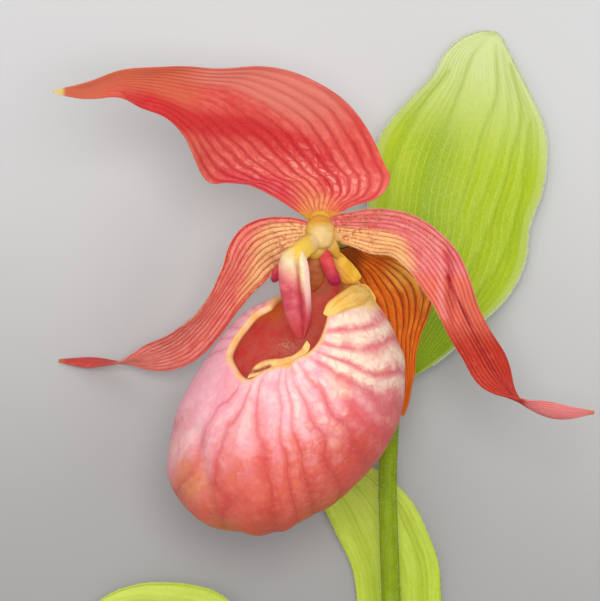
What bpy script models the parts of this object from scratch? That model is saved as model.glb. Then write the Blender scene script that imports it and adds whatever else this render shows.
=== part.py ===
"""Cut flowering stem of a lady's slipper orchid, lying on its back on a flat surface.

Metres, +Z up. The stem runs towards -Y, the flower opens towards +Z and a little to -X.
All positions are given as (x, y, z): x and y in face units of 0.2 mm, seen from
above with y running down towards the cut end, and z in millimetres over the surface.
"""
import bpy
import bmesh
import math
import numpy as np

# ------------------------------------------------------------------ driving sizes
UNIT = 0.0002            # one face unit, m
MM = 0.001
X0, Y0 = 321.5, 465.8    # face units of the row origin
T_PETAL = 0.75           # thickness of petals and sepals, mm
T_LEAF = 0.70            # thickness of bract and leaves, mm
T_POUCH = 0.75           # wall of the pouch, mm
ROLL_FAR, ROLL_NEAR = 0.75, 1.0       # radius of the rolled rim, far and near side, mm
R_STEM_TOP, R_STEM_END = 1.9, 2.2      # stem radius, mm
GAP = 0.3                # clearance between touching pieces, mm

POUCH_C = (286.0, 421.0, 42.0)         # middle of the pouch
POUCH_FRONT, POUCH_REAR = 21.0, 18.0   # half depths, mm

for o in list(bpy.data.objects):
    bpy.data.objects.remove(o, do_unlink=True)
home = bpy.data.collections.new("cypripedium_orchid")
bpy.context.scene.collection.children.link(home)


def place(p):
    """Face units and millimetres to metres."""
    p = np.asarray(p, float)
    out = np.empty_like(p)
    out[..., 0] = (p[..., 0] - X0) * UNIT
    out[..., 1] = (Y0 - p[..., 1]) * UNIT
    out[..., 2] = p[..., 2] * MM
    return out


def spline(rows, t, key=None):
    """Smooth curve through rows, at t in 0..1 along the chord of the key columns."""
    c = np.asarray(rows, float)
    k = c[:, :3] if key is None else key
    h = np.linalg.norm(np.diff(k, axis=0), axis=1)
    d = np.r_[0.0, np.cumsum(h)] / h.sum()
    h = np.diff(d)[:, None]
    g = np.diff(c, axis=0) / h
    m = np.empty_like(c)
    m[1:-1] = (g[1:] * h[:-1] + g[:-1] * h[1:]) / (h[1:] + h[:-1])
    m[0], m[-1] = g[0], g[-1]
    t = np.clip(np.asarray(t, float), 0, 1)
    i = np.clip(np.searchsorted(d, t, side="right") - 1, 0, len(d) - 2)
    u = ((t - d[i]) / (d[i + 1] - d[i]))[..., None]
    hh = h[i]
    return ((2 * u**3 - 3 * u**2 + 1) * c[i] + (u**3 - 2 * u**2 + u) * hh * m[i]
            + (-2 * u**3 + 3 * u**2) * c[i + 1] + (u**3 - u**2) * hh * m[i + 1])


def unit(v):
    n = np.linalg.norm(v, axis=-1, keepdims=True)
    return v / np.where(n < 1e-12, 1.0, n)


def edged_surface(rows):
    """Blade between two edges. A row is left x y z, right x y z, camber."""
    c = np.asarray(rows, float)
    a, b = place(c[:, :3]), place(c[:, 3:6])
    data = np.c_[a, b, c[:, 6:7] * MM]
    key = (a + b) / 2

    def point(t, s):
        v = spline(data, t, key)
        l, r, cam = v[..., :3], v[..., 3:6], v[..., 6:7]
        e = 1e-3
        w = spline(data, np.clip(t + e, 0, 1), key) - spline(data, np.clip(t - e, 0, 1), key)
        along = (w[..., :3] + w[..., 3:6]) / 2
        n = unit(np.cross(along, r - l))
        n = np.where(n[..., 2:3] < 0, -n, n)
        s = np.asarray(s)[..., None]
        return l + (r - l) * (s + 1) / 2 + n * cam * (1 - s * s)
    return point


def rolled_surface(rows):
    """Blade along a spine. A row is x y z, half width, roll in degrees, camber."""
    c = np.asarray(rows, float)
    data = np.c_[place(c[:, :3]), c[:, 3:4] * UNIT, np.radians(c[:, 4:5]), c[:, 5:6] * MM]
    key = data[:, :3]

    def point(t, s):
        v = spline(data, t, key)
        e = 2e-3
        w = spline(data, np.clip(t + e, 0, 1), key) - spline(data, np.clip(t - e, 0, 1), key)
        along = unit(w[..., :3])
        flat = unit(np.cross(along, np.array([0.0, 0.0, 1.0])))
        up = np.cross(flat, along)
        cr, sr = np.cos(v[..., 4:5]), np.sin(v[..., 4:5])
        across, n = flat * cr + up * sr, up * cr - flat * sr
        s = np.asarray(s)[..., None]
        return v[..., :3] + across * v[..., 3:4] * s + n * v[..., 5:6] * (1 - s * s)
    return point


def material(name, colour, rough):
    m = bpy.data.materials.new(name)
    m.use_nodes = True
    b = m.node_tree.nodes["Principled BSDF"]
    b.inputs["Base Color"].default_value = (*colour, 1.0)
    b.inputs["Roughness"].default_value = rough
    b.inputs["Metallic"].default_value = 0.0
    return m


def finish(name, bm, colour, rough=0.55, thickness=None, offset=0.0):
    me = bpy.data.meshes.new(name)
    bmesh.ops.recalc_face_normals(bm, faces=bm.faces)
    if not thickness and bm.calc_volume(signed=True) < 0:
        bmesh.ops.reverse_faces(bm, faces=bm.faces)
    bm.to_mesh(me)
    bm.free()
    ob = bpy.data.objects.new(name, me)
    home.objects.link(ob)
    for p in me.polygons:
        p.use_smooth = True
    me.materials.append(material(name, colour, rough))
    if thickness:
        so = ob.modifiers.new("thickness", "SOLIDIFY")
        so.thickness = thickness * MM
        so.offset = offset
        so.use_rim = True
        so.use_even_offset = False
    return ob


def blade(name, point, nt, ns, colour, thickness, floor=False, drop=0.0):
    """A thin blade: a flat grid bent onto a surface, then thickened."""
    bm = bmesh.new()
    bmesh.ops.create_grid(bm, x_segments=nt, y_segments=ns, size=1.0)
    co = np.array([v.co[:] for v in bm.verts])
    t = (co[:, 0] + 1) / 2
    q = point(t, co[:, 1])
    if floor:
        # what meets the surface lies flat on it
        low = thickness * MM / 2
        q[:, 2] -= drop * MM
        q[:, 2] = np.maximum(q[:, 2], low)
    for v, p in zip(bm.verts, q):
        v.co = p
    return finish(name, bm, colour, 0.55, thickness)


def rod(name, path, radii, colour, flat=1.0, side=(1, 0, 0), nu=12, nv=10, power=2.4, groove=0.0):
    """A closed rounded body along a path: a ball whose rings are slid along it."""
    rows = np.c_[place(np.asarray(path, float)), np.asarray(radii, float)[:, None] * MM]
    key = rows[:, :3]
    bm = bmesh.new()
    bmesh.ops.create_uvsphere(bm, u_segments=nu, v_segments=nv, radius=1.0)
    co = np.array([v.co[:] for v in bm.verts])
    c = np.clip(co[:, 2], -1, 1)
    t = (1 - c) / 2
    v = spline(rows, t, key)
    e = 5e-3
    w = spline(rows, np.clip(t + e, 0, 1), key) - spline(rows, np.clip(t - e, 0, 1), key)
    along = unit(w[:, :3])
    across = unit(np.cross(np.cross(along, np.array(side, float)), along))
    n = np.cross(along, across)
    rad = v[:, 3] * np.power(np.clip(1 - np.abs(c) ** power, 0, 1), 0.5)
    az = np.arctan2(co[:, 1], co[:, 0])
    ring = np.hypot(co[:, 0], co[:, 1]) > 1e-6
    ca, sa = np.cos(az) * ring, np.sin(az) * ring
    dent = 1 - groove * np.exp(-(ca / 0.35) ** 2) * (sa > 0)
    q = v[:, :3] + across * (rad * ca)[:, None] + n * (rad * sa * flat * dent)[:, None]
    for vert, p in zip(bm.verts, q):
        vert.co = p
    return finish(name, bm, colour)


def stalk(name, path, radii, colour, steps):
    """A round stalk with flat cut ends."""
    rows = np.c_[place(np.asarray(path, float)), np.asarray(radii, float)[:, None]]
    q = spline(rows, np.linspace(0, 1, steps + 1), rows[:, :3])
    cu = bpy.data.curves.new(name + "_line", "CURVE")
    cu.dimensions = "3D"
    cu.bevel_depth = MM
    cu.bevel_resolution = 2
    cu.use_fill_caps = True
    sp = cu.splines.new("POLY")
    sp.points.add(len(q) - 1)
    for pt, r in zip(sp.points, q):
        pt.co = (r[0], r[1], r[2], 1.0)
        pt.radius = r[3]
    tmp = bpy.data.objects.new(name + "_line", cu)
    home.objects.link(tmp)
    bpy.context.view_layer.update()
    me = bpy.data.meshes.new_from_object(tmp)
    bm = bmesh.new()
    bm.from_mesh(me)
    bmesh.ops.remove_doubles(bm, verts=bm.verts, dist=0.00001)
    bpy.data.objects.remove(tmp, do_unlink=True)
    return finish(name, bm, colour)


# ------------------------------------------------------------------ stem and ovary
STEM = [(393, 386, 15.2), (391, 430, 13.9), (389, 480, 12.5), (391, 560, 10.3),
        (394, 640, 8.1), (395, 740, 5.6), (397, 840, 3.5), (399, 905, 2.2)]
stalk("stem", STEM, [1.95, 1.85, 1.85, 1.9, 2.0, 2.1, 2.2, 2.2], (0.16, 0.24, 0.04), 18)

OVARY = [(393, 384.4, 15.25), (394, 345, 16.0), (390, 308, 18.2), (378, 275, 23.4),
         (360, 252, 29.6), (342, 238, 35.0), (327, 229, 40.2)]
rod("ovary", OVARY, [1.9, 2.1, 2.3, 2.4, 2.35, 2.2, 2.1], (0.20, 0.26, 0.06), nu=12, nv=16, power=8)

# ------------------------------------------------------------------ bract and leaves
BRACT = [
    (389, 384, 11.6, 399, 386, 11.6, -0.2), (384, 360, 9.0, 420, 376, 9.6, -1.2),
    (379, 325, 6.4, 448, 357, 7.6, -2.2), (374, 285, 4.6, 482, 325, 6.2, -3.0),
    (371, 245, 3.8, 510, 297, 5.2, -3.4), (370, 205, 3.5, 528, 262, 4.8, -3.4),
    (373, 172, 3.4, 534, 222, 4.6, -3.3), (379, 142, 3.3, 546, 190, 4.4, -3.2),
    (394, 116, 3.2, 551, 150, 4.2, -3.0), (416, 92, 3.0, 547, 120, 3.8, -2.6),
    (437, 70, 2.7, 534, 90, 3.3, -2.1), (451, 46, 2.4, 522, 66, 2.8, -1.6),
    (467, 33, 2.0, 514, 50, 2.2, -1.0), (487, 26, 1.4, 508, 38, 1.5, -0.5),
    (500, 26, 0.9, 505, 30, 0.9, -0.1)]
blade("floral_bract", edged_surface(BRACT), 24, 10, (0.30, 0.45, 0.10), T_LEAF, floor=True, drop=0.45)

LEAF_UPPER = [
    (388, 806, 1.1, 400, 806, 1.1, 0.0), (376, 770, 1.1, 418, 770, 1.3, -0.3),
    (362, 720, 1.3, 436, 715, 1.8, -0.8), (357, 660, 1.6, 445, 655, 2.4, -1.1),
    (358, 600, 1.8, 443, 600, 2.8, -1.3), (353, 572, 1.9, 441, 570, 3.0, -1.4),
    (338, 540, 2.1, 431, 540, 3.1, -1.5), (322, 508, 2.3, 412, 503, 3.2, -1.5),
    (306, 485, 2.3, 385, 478, 3.0, -1.3), (294, 465, 2.0, 352, 460, 2.6, -1.0),
    (284, 450, 1.5, 315, 447, 1.8, -0.4), (278, 441, 1.0, 281, 440, 1.0, 0.0)]
blade("stem_leaf_upper", edged_surface(LEAF_UPPER), 20, 8, (0.14, 0.22, 0.04), T_LEAF, floor=True, drop=0.5)

LEAF_LOWER = [
    (381, 838, 1.6, 381, 850, 1.4, 0.0), (360, 805, 2.0, 366, 852, 1.0, -0.5),
    (330, 755, 2.4, 335, 840, 0.9, -1.0), (290, 695, 2.8, 295, 812, 1.0, -1.4),
    (250, 638, 3.0, 250, 778, 1.1, -1.6), (221, 602, 3.0, 205, 742, 1.2, -1.7),
    (192, 591, 2.9, 165, 714, 1.3, -1.6), (163, 588, 2.7, 130, 694, 1.4, -1.4),
    (134, 590, 2.4, 100, 680, 1.4, -1.1), (104, 601, 2.0, 75, 670, 1.3, -0.8),
    (78, 622, 1.5, 58, 663, 1.1, -0.4), (53, 655, 1.0, 50, 659, 0.9, 0.0)]
blade("stem_leaf_lower", edged_surface(LEAF_LOWER), 20, 8, (0.14, 0.22, 0.04), T_LEAF, floor=True)

# ------------------------------------------------------------------ sepals and petals
DORSAL = [
    (309, 225, 42.9, 331, 224, 42.8, -0.1), (306, 218, 43.6, 337, 216, 42.6, -0.6),
    (294, 210, 45.1, 352, 206, 41.6, -1.5),
    (276, 199, 47.2, 376, 198, 40.2, -2.8), (251, 188, 49.8, 390, 180, 39.4, -4.2),
    (229, 185, 52.2, 383, 160, 39.8, -5.0), (213, 184, 54.2, 369, 131, 41.8, -5.2),
    (203, 175, 56.0, 345, 101, 45.0, -5.0), (194, 160, 57.6, 308, 80, 49.0, -4.4),
    (184, 138, 59.4, 262, 68, 53.6, -3.6), (165, 119, 61.6, 215, 70, 58.0, -2.8),
    (139, 108, 64.4, 170, 67, 62.4, -2.0), (118, 101, 67.2, 128, 72, 66.8, -1.4),
    (98, 101, 70.0, 97, 82, 70.0, -0.9), (80, 101, 72.4, 74, 90, 73.0, -0.4),
    (59, 97, 75.0, 57, 94, 75.0, 0.0)]
blade("dorsal_sepal", edged_surface(DORSAL), 24, 10, (0.75, 0.22, 0.10), T_PETAL)

PETAL_LEFT = [
    (313, 236, 43.6, 9, 2, 0.0), (302, 235, 43.8, 15, 4, -0.3), (285, 238, 43.9, 22, 8, -0.8),
    (264, 247, 41.4, 29, 14, -1.2),
    (243, 276, 36.6, 25, 36, -1.2), (222, 305, 31.0, 22, 46, -1.0), (203, 328, 26.0, 21, 38, -1.0),
    (180, 348, 20.0, 20, 22, -1.0), (150, 361, 13.0, 17, 36, -0.8), (117, 366, 7.0, 11, 88, -0.5),
    (85, 364, 2.6, 7, 132, -0.3), (54, 362, 0.36, 1.6, 150, 0.0)]
blade("petal_left", rolled_surface(PETAL_LEFT), 26, 8, (0.72, 0.16, 0.08), T_PETAL)

PETAL_RIGHT = [
    (327, 229, 43.8, 9, 0, 0.0), (337, 228, 44.5, 13, 0, -0.3), (351, 229, 46.6, 17, 0, -0.6), (371, 231, 49.2, 22, 2, -1.0),
    (405, 238, 53.8, 23, 4, -1.2), (433, 262, 57.2, 25, 0, -1.2), (448, 288, 57.6, 22, -4, -1.0),
    (459, 315, 55.8, 20, 0, -1.0), (476, 345, 53.2, 20, 6, -1.0), (497, 377, 51.4, 19, 26, -1.0),
    (519, 398, 50.4, 13, 86, -0.6), (549, 410, 50.4, 10, 148, -0.5), (593, 412, 51.4, 1.6, 165, 0.0)]
blade("petal_right", rolled_surface(PETAL_RIGHT), 28, 8, (0.70, 0.13, 0.08), T_PETAL)

SYNSEPAL = [
    (336, 251, 36.4, 352, 246, 36.6, 0.0), (337, 266, 32.4, 380, 252, 34.6, -0.4),
    (342, 286, 29.4, 412, 266, 33.2, -0.9), (350, 310, 27.4, 434, 290, 32.2, -1.3),
    (358, 335, 26.2, 432, 309, 31.2, -1.4), (368, 358, 25.6, 423, 329, 30.0, -1.3),
    (380, 380, 25.4, 418, 352, 28.6, -1.0), (392, 400, 25.6, 415, 380, 27.2, -0.7),
    (400, 412, 26.0, 409, 404, 26.5, -0.3), (403.5, 417, 26.4, 405.5, 415, 26.4, 0.0)]
blade("synsepal", edged_surface(SYNSEPAL), 18, 8, (0.55, 0.20, 0.06), T_PETAL)

# ------------------------------------------------------------------ pouch
OUTLINE = [
    (405, 397), (405, 376), (404, 356), (397, 337), (386, 317), (374, 299), (363, 283),
    (353, 270), (340, 261), (325, 257), (311, 261), (300, 274), (289, 289), (270, 299), (252, 307),
    (238, 318), (227, 330), (215, 345), (200, 367), (188, 388), (178, 408), (172, 427),
    (168, 446), (167, 463), (170, 480), (177, 496), (188, 510), (202, 521), (218, 528),
    (235, 533), (253, 535.5), (273, 534), (296, 527), (319, 514), (339, 499), (357, 484),
    (371, 468), (383, 451), (394, 433), (402, 415)]
# rim of the mouth: x, y, and +1 on the near side or -1 on the far side
RIM = [
    (246, 382, 1), (257, 376, 1), (272, 369, 1), (291, 364, 1), (311, 354, 1), (321, 342, 1),
    (327, 327, 1), (333, 312, 1), (345, 307, 1), (361, 303, 1), (366, 294, 0.3), (359, 281, -1),
    (351, 272, -1), (339, 264, -1), (325, 260, -1), (311, 265, -1), (299, 278, -1), (287, 294, -0.6),
    (271, 303, 0.5),
    (254, 313, 1), (243, 326, 1), (232, 341, 1), (226, 357, 1), (235, 374, 1)]


def closed_curve(points, n):
    """Smooth closed curve through points."""
    p = np.asarray(points, float)
    m = len(p)
    t = np.linspace(0, m, n, endpoint=False)
    i = t.astype(int)
    u = (t - i)[:, None]
    a, b, c, d = p[(i - 1) % m], p[i % m], p[(i + 1) % m], p[(i + 2) % m]
    return 0.5 * (2 * b + (c - a) * u + (2 * a - 5 * b + 4 * c - d) * u**2 + (3 * b - a - 3 * c + d) * u**3)


def pouch_tools():
    c = np.array(POUCH_C)
    ring = closed_curve(OUTLINE, 720)
    th = np.arctan2(c[1] - ring[:, 1], ring[:, 0] - c[0])
    rr = np.hypot(ring[:, 0] - c[0], ring[:, 1] - c[1])
    order = np.argsort(th)
    th, rr = th[order], rr[order]

    def reach(a):
        return np.interp(a, th, rr, period=2 * math.pi)

    def surface(d):
        """Unit direction, seen from above with y up, to a point of the pouch."""
        a = np.arctan2(d[..., 1], d[..., 0])
        r = reach(a)
        out = np.empty(d.shape)
        out[..., 0] = c[0] + r * d[..., 0]
        out[..., 1] = c[1] - r * d[..., 1]
        out[..., 2] = c[2] + np.where(d[..., 2] > 0, POUCH_FRONT, POUCH_REAR) * d[..., 2]
        return place(out)

    rim = closed_curve(RIM, 360)
    dx, dy = rim[:, 0] - c[0], c[1] - rim[:, 1]
    r = reach(np.arctan2(dy, dx))
    dx, dy = dx / r, dy / r
    f = np.minimum(1.0, 0.998 / np.maximum(np.hypot(dx, dy), 1e-9))
    dx, dy = dx * f, dy * f
    dz = np.sqrt(np.clip(1 - dx**2 - dy**2, 0, 1)) * np.clip(rim[:, 2] * 1.6, -1, 1)
    d = unit(np.c_[dx, dy, dz])
    pole = unit(d.mean(axis=0))
    e1 = unit(np.cross(pole, np.array([1.0, 0.0, 0.0])))
    e2 = np.cross(pole, e1)
    az = np.arctan2(d @ e2, d @ e1)
    lam = np.arccos(np.clip(d @ pole, -1, 1))
    order = np.argsort(az)
    even = np.linspace(-math.pi, math.pi, 360, endpoint=False)
    lam = np.interp(even, az[order], lam[order], period=2 * math.pi)
    for _ in range(12):
        lam = (np.roll(lam, 1) + 2 * lam + np.roll(lam, -1)) / 4

    def rim_angle(u):
        return np.interp(u, even, lam, period=2 * math.pi)

    def direction(u, l):
        sl = np.sin(l)[..., None]
        return (pole * np.cos(l)[..., None] + e1 * np.cos(u)[..., None] * sl
                + e2 * np.sin(u)[..., None] * sl)

    return surface, rim_angle, direction


def pouch(name, nu, nv, roll_rows=4, roll_end=205.0):
    surface, rim_angle, direction = pouch_tools()
    bm = bmesh.new()
    bmesh.ops.create_uvsphere(bm, u_segments=nu, v_segments=nv, radius=1.0)
    top = [v for v in bm.verts if v.co.z > 0.99999]
    bmesh.ops.delete(bm, geom=top, context="VERTS")
    co = np.array([v.co[:] for v in bm.verts])
    row = np.rint(np.arccos(np.clip(co[:, 2], -1, 1)) / math.pi * nv).astype(int) - 1
    u = np.arctan2(co[:, 1], co[:, 0])
    l0 = rim_angle(u)
    k = np.clip((row - roll_rows) / (nv - 1 - roll_rows), 0, 1)
    # rows are closer where the wall leaves the rim
    k = k ** 1.15
    q = surface(direction(u, l0 + (math.pi - l0) * k))
    e = 0.01
    here = surface(direction(u, l0))
    t = unit(here - surface(direction(u, l0 + e)))
    side = surface(direction(u + e, rim_angle(u + e))) - surface(direction(u - e, rim_angle(u - e)))
    n = unit(np.cross(t, unit(side)))
    out = here - place(np.array(POUCH_C))
    n = np.where(np.sum(n * out, axis=1, keepdims=True) < 0, -n, n)
    a = np.radians(roll_end) * np.clip((roll_rows - row) / roll_rows, 0, 1)
    y_face = Y0 - here[:, 1] / UNIT
    near = np.clip((y_face - 335) / 30, 0, 1)
    rr = (ROLL_FAR + (ROLL_NEAR - ROLL_FAR) * near) * MM
    roll = here - n * rr[:, None] + rr[:, None] * (n * np.cos(a)[:, None] + t * np.sin(a)[:, None])
    q = np.where((row < roll_rows)[:, None], roll, q)
    for v, p in zip(bm.verts, q):
        v.co = p
    return finish(name, bm, (0.78, 0.34, 0.27), 0.5, T_POUCH, offset=-1.0)


pouch("pouch", 30, 20)

# ------------------------------------------------------------------ column and its parts
rod("column", [(320, 216, 46.5), (320, 226, 47.3), (320.5, 236, 48.8), (316, 247, 50.0), (309, 256, 50.4)],
    [2.2, 2.55, 3.1, 3.0, 2.2], (0.80, 0.66, 0.25), flat=0.8, nu=14, nv=12, power=4)
rod("staminode", [(297, 247, 53.9), (294, 258, 54.7), (294, 276, 54.4), (296.5, 298, 53.1), (298.5, 314, 51.6),
                  (300, 326, 50.4), (302, 339, 49.2)],
    [3.0, 3.15, 3.15, 2.9, 2.75, 2.45, 1.8], (0.78, 0.34, 0.36), flat=0.33, side=(1, 0, 0), nu=16, nv=12,
    power=4.0, groove=0.45)
rod("anther_right", [(323, 252, 47.4), (329, 267, 47.0), (337.5, 286, 46.2)],
    [1.15, 1.2, 1.25], (0.60, 0.12, 0.22), flat=0.5, nu=10, nv=8, power=6)
rod("anther_left", [(290, 262, 50.6), (280, 270, 49.6), (273, 282, 48.6)],
    [0.9, 1.1, 1.0], (0.45, 0.06, 0.16), flat=0.8, nu=10, nv=8, power=3.0)
COLLAR = [
    (330, 252, 45.0, 338, 250, 44.6, 0.0), (332, 259, 44.9, 345, 257, 44.2, 0.3),
    (336, 269, 44.6, 353, 265, 43.8, 0.5), (340, 278, 44.2, 359, 273, 43.6, 0.5),
    (345, 283.5, 43.9, 360, 279, 43.5, 0.3), (351, 284.5, 43.7, 356, 283, 43.5, 0.0)]
blade("lip_collar", edged_surface(COLLAR), 10, 6, (0.76, 0.55, 0.06), 0.6)
rod("stigma", [(316, 257, 47.0), (313, 272, 46.2), (311, 290, 45.4)],
    [1.6, 2.3, 1.4], (0.80, 0.55, 0.35), flat=0.5, nu=12, nv=8)

lo = np.array([1e9] * 3)
hi = -lo
bpy.context.view_layer.update()
dg = bpy.context.evaluated_depsgraph_get()
for o in home.objects:
    ev = o.evaluated_get(dg)
    c = np.array([v.co[:] for v in ev.data.vertices])
    print(f"{o.name:18s} tris {sum(len(p.vertices) - 2 for p in ev.data.polygons):6d} "
          f"lo {np.round(c.min(0) * 1000, 1)} hi {np.round(c.max(0) * 1000, 1)}")
    lo, hi = np.minimum(lo, c.min(0)), np.maximum(hi, c.max(0))
print("ALL lo", np.round(lo * 1000, 2), "hi", np.round(hi * 1000, 2), "centre units",
      X0 + (lo[0] + hi[0]) / 2 / UNIT, Y0 - (lo[1] + hi[1]) / 2 / UNIT)
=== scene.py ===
import bpy
import math
import numpy as np
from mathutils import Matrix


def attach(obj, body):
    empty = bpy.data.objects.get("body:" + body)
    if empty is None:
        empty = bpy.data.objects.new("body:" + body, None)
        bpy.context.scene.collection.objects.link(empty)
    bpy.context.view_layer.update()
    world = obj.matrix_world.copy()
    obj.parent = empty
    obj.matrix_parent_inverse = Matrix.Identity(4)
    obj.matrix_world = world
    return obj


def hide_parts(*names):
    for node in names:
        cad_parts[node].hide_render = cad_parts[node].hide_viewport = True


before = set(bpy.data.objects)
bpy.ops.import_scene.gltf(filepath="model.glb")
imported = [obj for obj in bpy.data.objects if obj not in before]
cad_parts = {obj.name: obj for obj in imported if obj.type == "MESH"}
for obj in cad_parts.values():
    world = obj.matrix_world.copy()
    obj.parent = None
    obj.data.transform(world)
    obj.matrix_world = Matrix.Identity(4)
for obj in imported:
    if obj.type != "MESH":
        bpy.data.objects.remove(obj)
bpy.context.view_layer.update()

# ------------------------------------------------------------------ sizes
UNIT = 0.0002            # one face unit, m
MM = 0.001
X0, Y0 = 321.5, 465.8    # face units of the row origin
RES = 1.0
rng = np.random.default_rng(7)


def place(p):
    p = np.asarray(p, float)
    out = np.empty_like(p)
    out[..., 0] = (p[..., 0] - X0) * UNIT
    out[..., 1] = (Y0 - p[..., 1]) * UNIT
    out[..., 2] = p[..., 2] * MM
    return out


def unit(v):
    n = np.linalg.norm(v, axis=-1, keepdims=True)
    return v / np.where(n < 1e-12, 1.0, n)


def smooth(a, b, x):
    x = np.clip((x - a) / (b - a), 0, 1)
    return x * x * (3 - 2 * x)


def bump_at(x, c, w):
    return np.exp(-((x - c) / w) ** 2)


def spline(rows, t, key=None):
    c = np.asarray(rows, float)
    k = c[:, :3] if key is None else key
    h = np.linalg.norm(np.diff(k, axis=0), axis=1)
    d = np.r_[0.0, np.cumsum(h)] / h.sum()
    h = np.diff(d)[:, None]
    g = np.diff(c, axis=0) / h
    m = np.empty_like(c)
    m[1:-1] = (g[1:] * h[:-1] + g[:-1] * h[1:]) / (h[1:] + h[:-1])
    m[0], m[-1] = g[0], g[-1]
    t = np.clip(np.asarray(t, float), 0, 1)
    i = np.clip(np.searchsorted(d, t, side="right") - 1, 0, len(d) - 2)
    u = ((t - d[i]) / (d[i + 1] - d[i]))[..., None]
    hh = h[i]
    return ((2 * u**3 - 3 * u**2 + 1) * c[i] + (u**3 - 2 * u**2 + u) * hh * m[i]
            + (-2 * u**3 + 3 * u**2) * c[i + 1] + (u**3 - u**2) * hh * m[i + 1])


def wavy(x, y, seed, n=7, lo=0.6, hi=3.0):
    """Smooth seeded unevenness in -1..1, a sum of waves."""
    r = np.random.default_rng(seed)
    out = 0
    for _ in range(n):
        a, f, ph = r.uniform(0, math.tau), r.uniform(lo, hi), r.uniform(0, math.tau)
        out = out + np.sin(math.tau * f * (x * math.cos(a) + y * math.sin(a)) + ph)
    return out / n * 1.6


def near_line(x, y, pts, w):
    """1 on a line through face points, falling away over w face units."""
    best = np.full(np.shape(x), 1e9)
    for (ax, ay), (bx, by) in zip(pts[:-1], pts[1:]):
        vx, vy = bx - ax, by - ay
        f = np.clip(((x - ax) * vx + (y - ay) * vy) / (vx * vx + vy * vy), 0, 1)
        best = np.minimum(best, np.hypot(x - ax - f * vx, y - ay - f * vy))
    return np.exp(-(best / w) ** 2)


def spot(x, y, cx, cy, rx, ry=None):
    return np.exp(-((x - cx) / rx) ** 2 - ((y - cy) / (ry or rx)) ** 2)


def edged_surface(rows):
    c = np.asarray(rows, float)
    a, b = place(c[:, :3]), place(c[:, 3:6])
    data = np.c_[a, b, c[:, 6:7] * MM]
    key = (a + b) / 2

    def point(t, s):
        v = spline(data, t, key)
        l, r, cam = v[..., :3], v[..., 3:6], v[..., 6:7]
        e = 1e-3
        w = spline(data, np.clip(t + e, 0, 1), key) - spline(data, np.clip(t - e, 0, 1), key)
        along = (w[..., :3] + w[..., 3:6]) / 2
        n = unit(np.cross(along, r - l))
        n = np.where(n[..., 2:3] < 0, -n, n)
        s = np.asarray(s)[..., None]
        return l + (r - l) * (s + 1) / 2 + n * cam * (1 - s * s)
    return point


def rolled_surface(rows):
    c = np.asarray(rows, float)
    data = np.c_[place(c[:, :3]), c[:, 3:4] * UNIT, np.radians(c[:, 4:5]), c[:, 5:6] * MM]
    key = data[:, :3]

    def point(t, s):
        v = spline(data, t, key)
        e = 2e-3
        w = spline(data, np.clip(t + e, 0, 1), key) - spline(data, np.clip(t - e, 0, 1), key)
        along = unit(w[..., :3])
        flat = unit(np.cross(along, np.array([0.0, 0.0, 1.0])))
        up = np.cross(flat, along)
        cr, sr = np.cos(v[..., 4:5]), np.sin(v[..., 4:5])
        across, n = flat * cr + up * sr, up * cr - flat * sr
        s = np.asarray(s)[..., None]
        return v[..., :3] + across * v[..., 3:4] * s + n * v[..., 5:6] * (1 - s * s)
    return point


# ------------------------------------------------------------------ meshes
def mesh_object(name, co, faces, mat, attrs=None, uv=None):
    me = bpy.data.meshes.new(name)
    faces = np.asarray(faces, np.int32)
    me.vertices.add(len(co))
    me.vertices.foreach_set("co", np.asarray(co, np.float32).ravel())
    if faces.ndim == 2:
        k = faces.shape[1]
        me.loops.add(faces.size)
        me.loops.foreach_set("vertex_index", faces.ravel())
        me.polygons.add(len(faces))
        me.polygons.foreach_set("loop_start", np.arange(0, faces.size, k, dtype=np.int32))
        me.polygons.foreach_set("loop_total", np.full(len(faces), k, np.int32))
    me.update(calc_edges=True)
    me.polygons.foreach_set("use_smooth", np.ones(len(me.polygons), bool))
    for key, val in (attrs or {}).items():
        at = me.attributes.new(key, "FLOAT", "POINT")
        at.data.foreach_set("value", np.asarray(val, np.float32).ravel())
    if uv is not None:
        layer = me.uv_layers.new(name="flow")
        idx = faces.ravel()
        layer.data.foreach_set("uv", np.asarray(uv, np.float32)[idx].ravel())
    me.validate()
    ob = bpy.data.objects.new(name, me)
    bpy.context.scene.collection.objects.link(ob)
    if mat:
        me.materials.append(mat)
    return ob


def grid_faces(a, b, base=0, flip=False, wrap=False):
    i = np.arange(a - 1)[:, None]
    j = np.arange(b if wrap else b - 1)[None, :]
    jn = (j + 1) % b
    f = np.stack([i * b + j, (i + 1) * b + j, (i + 1) * b + jn, i * b + jn], -1).reshape(-1, 4) + base
    return f[:, ::-1] if flip else f


def grid_normals(q, wrap=False):
    dt = np.gradient(q, axis=0)
    if wrap:
        ds = (np.roll(q, -1, 1) - np.roll(q, 1, 1)) / 2
    else:
        ds = np.gradient(q, axis=1)
    return unit(np.cross(dt, ds))


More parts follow.
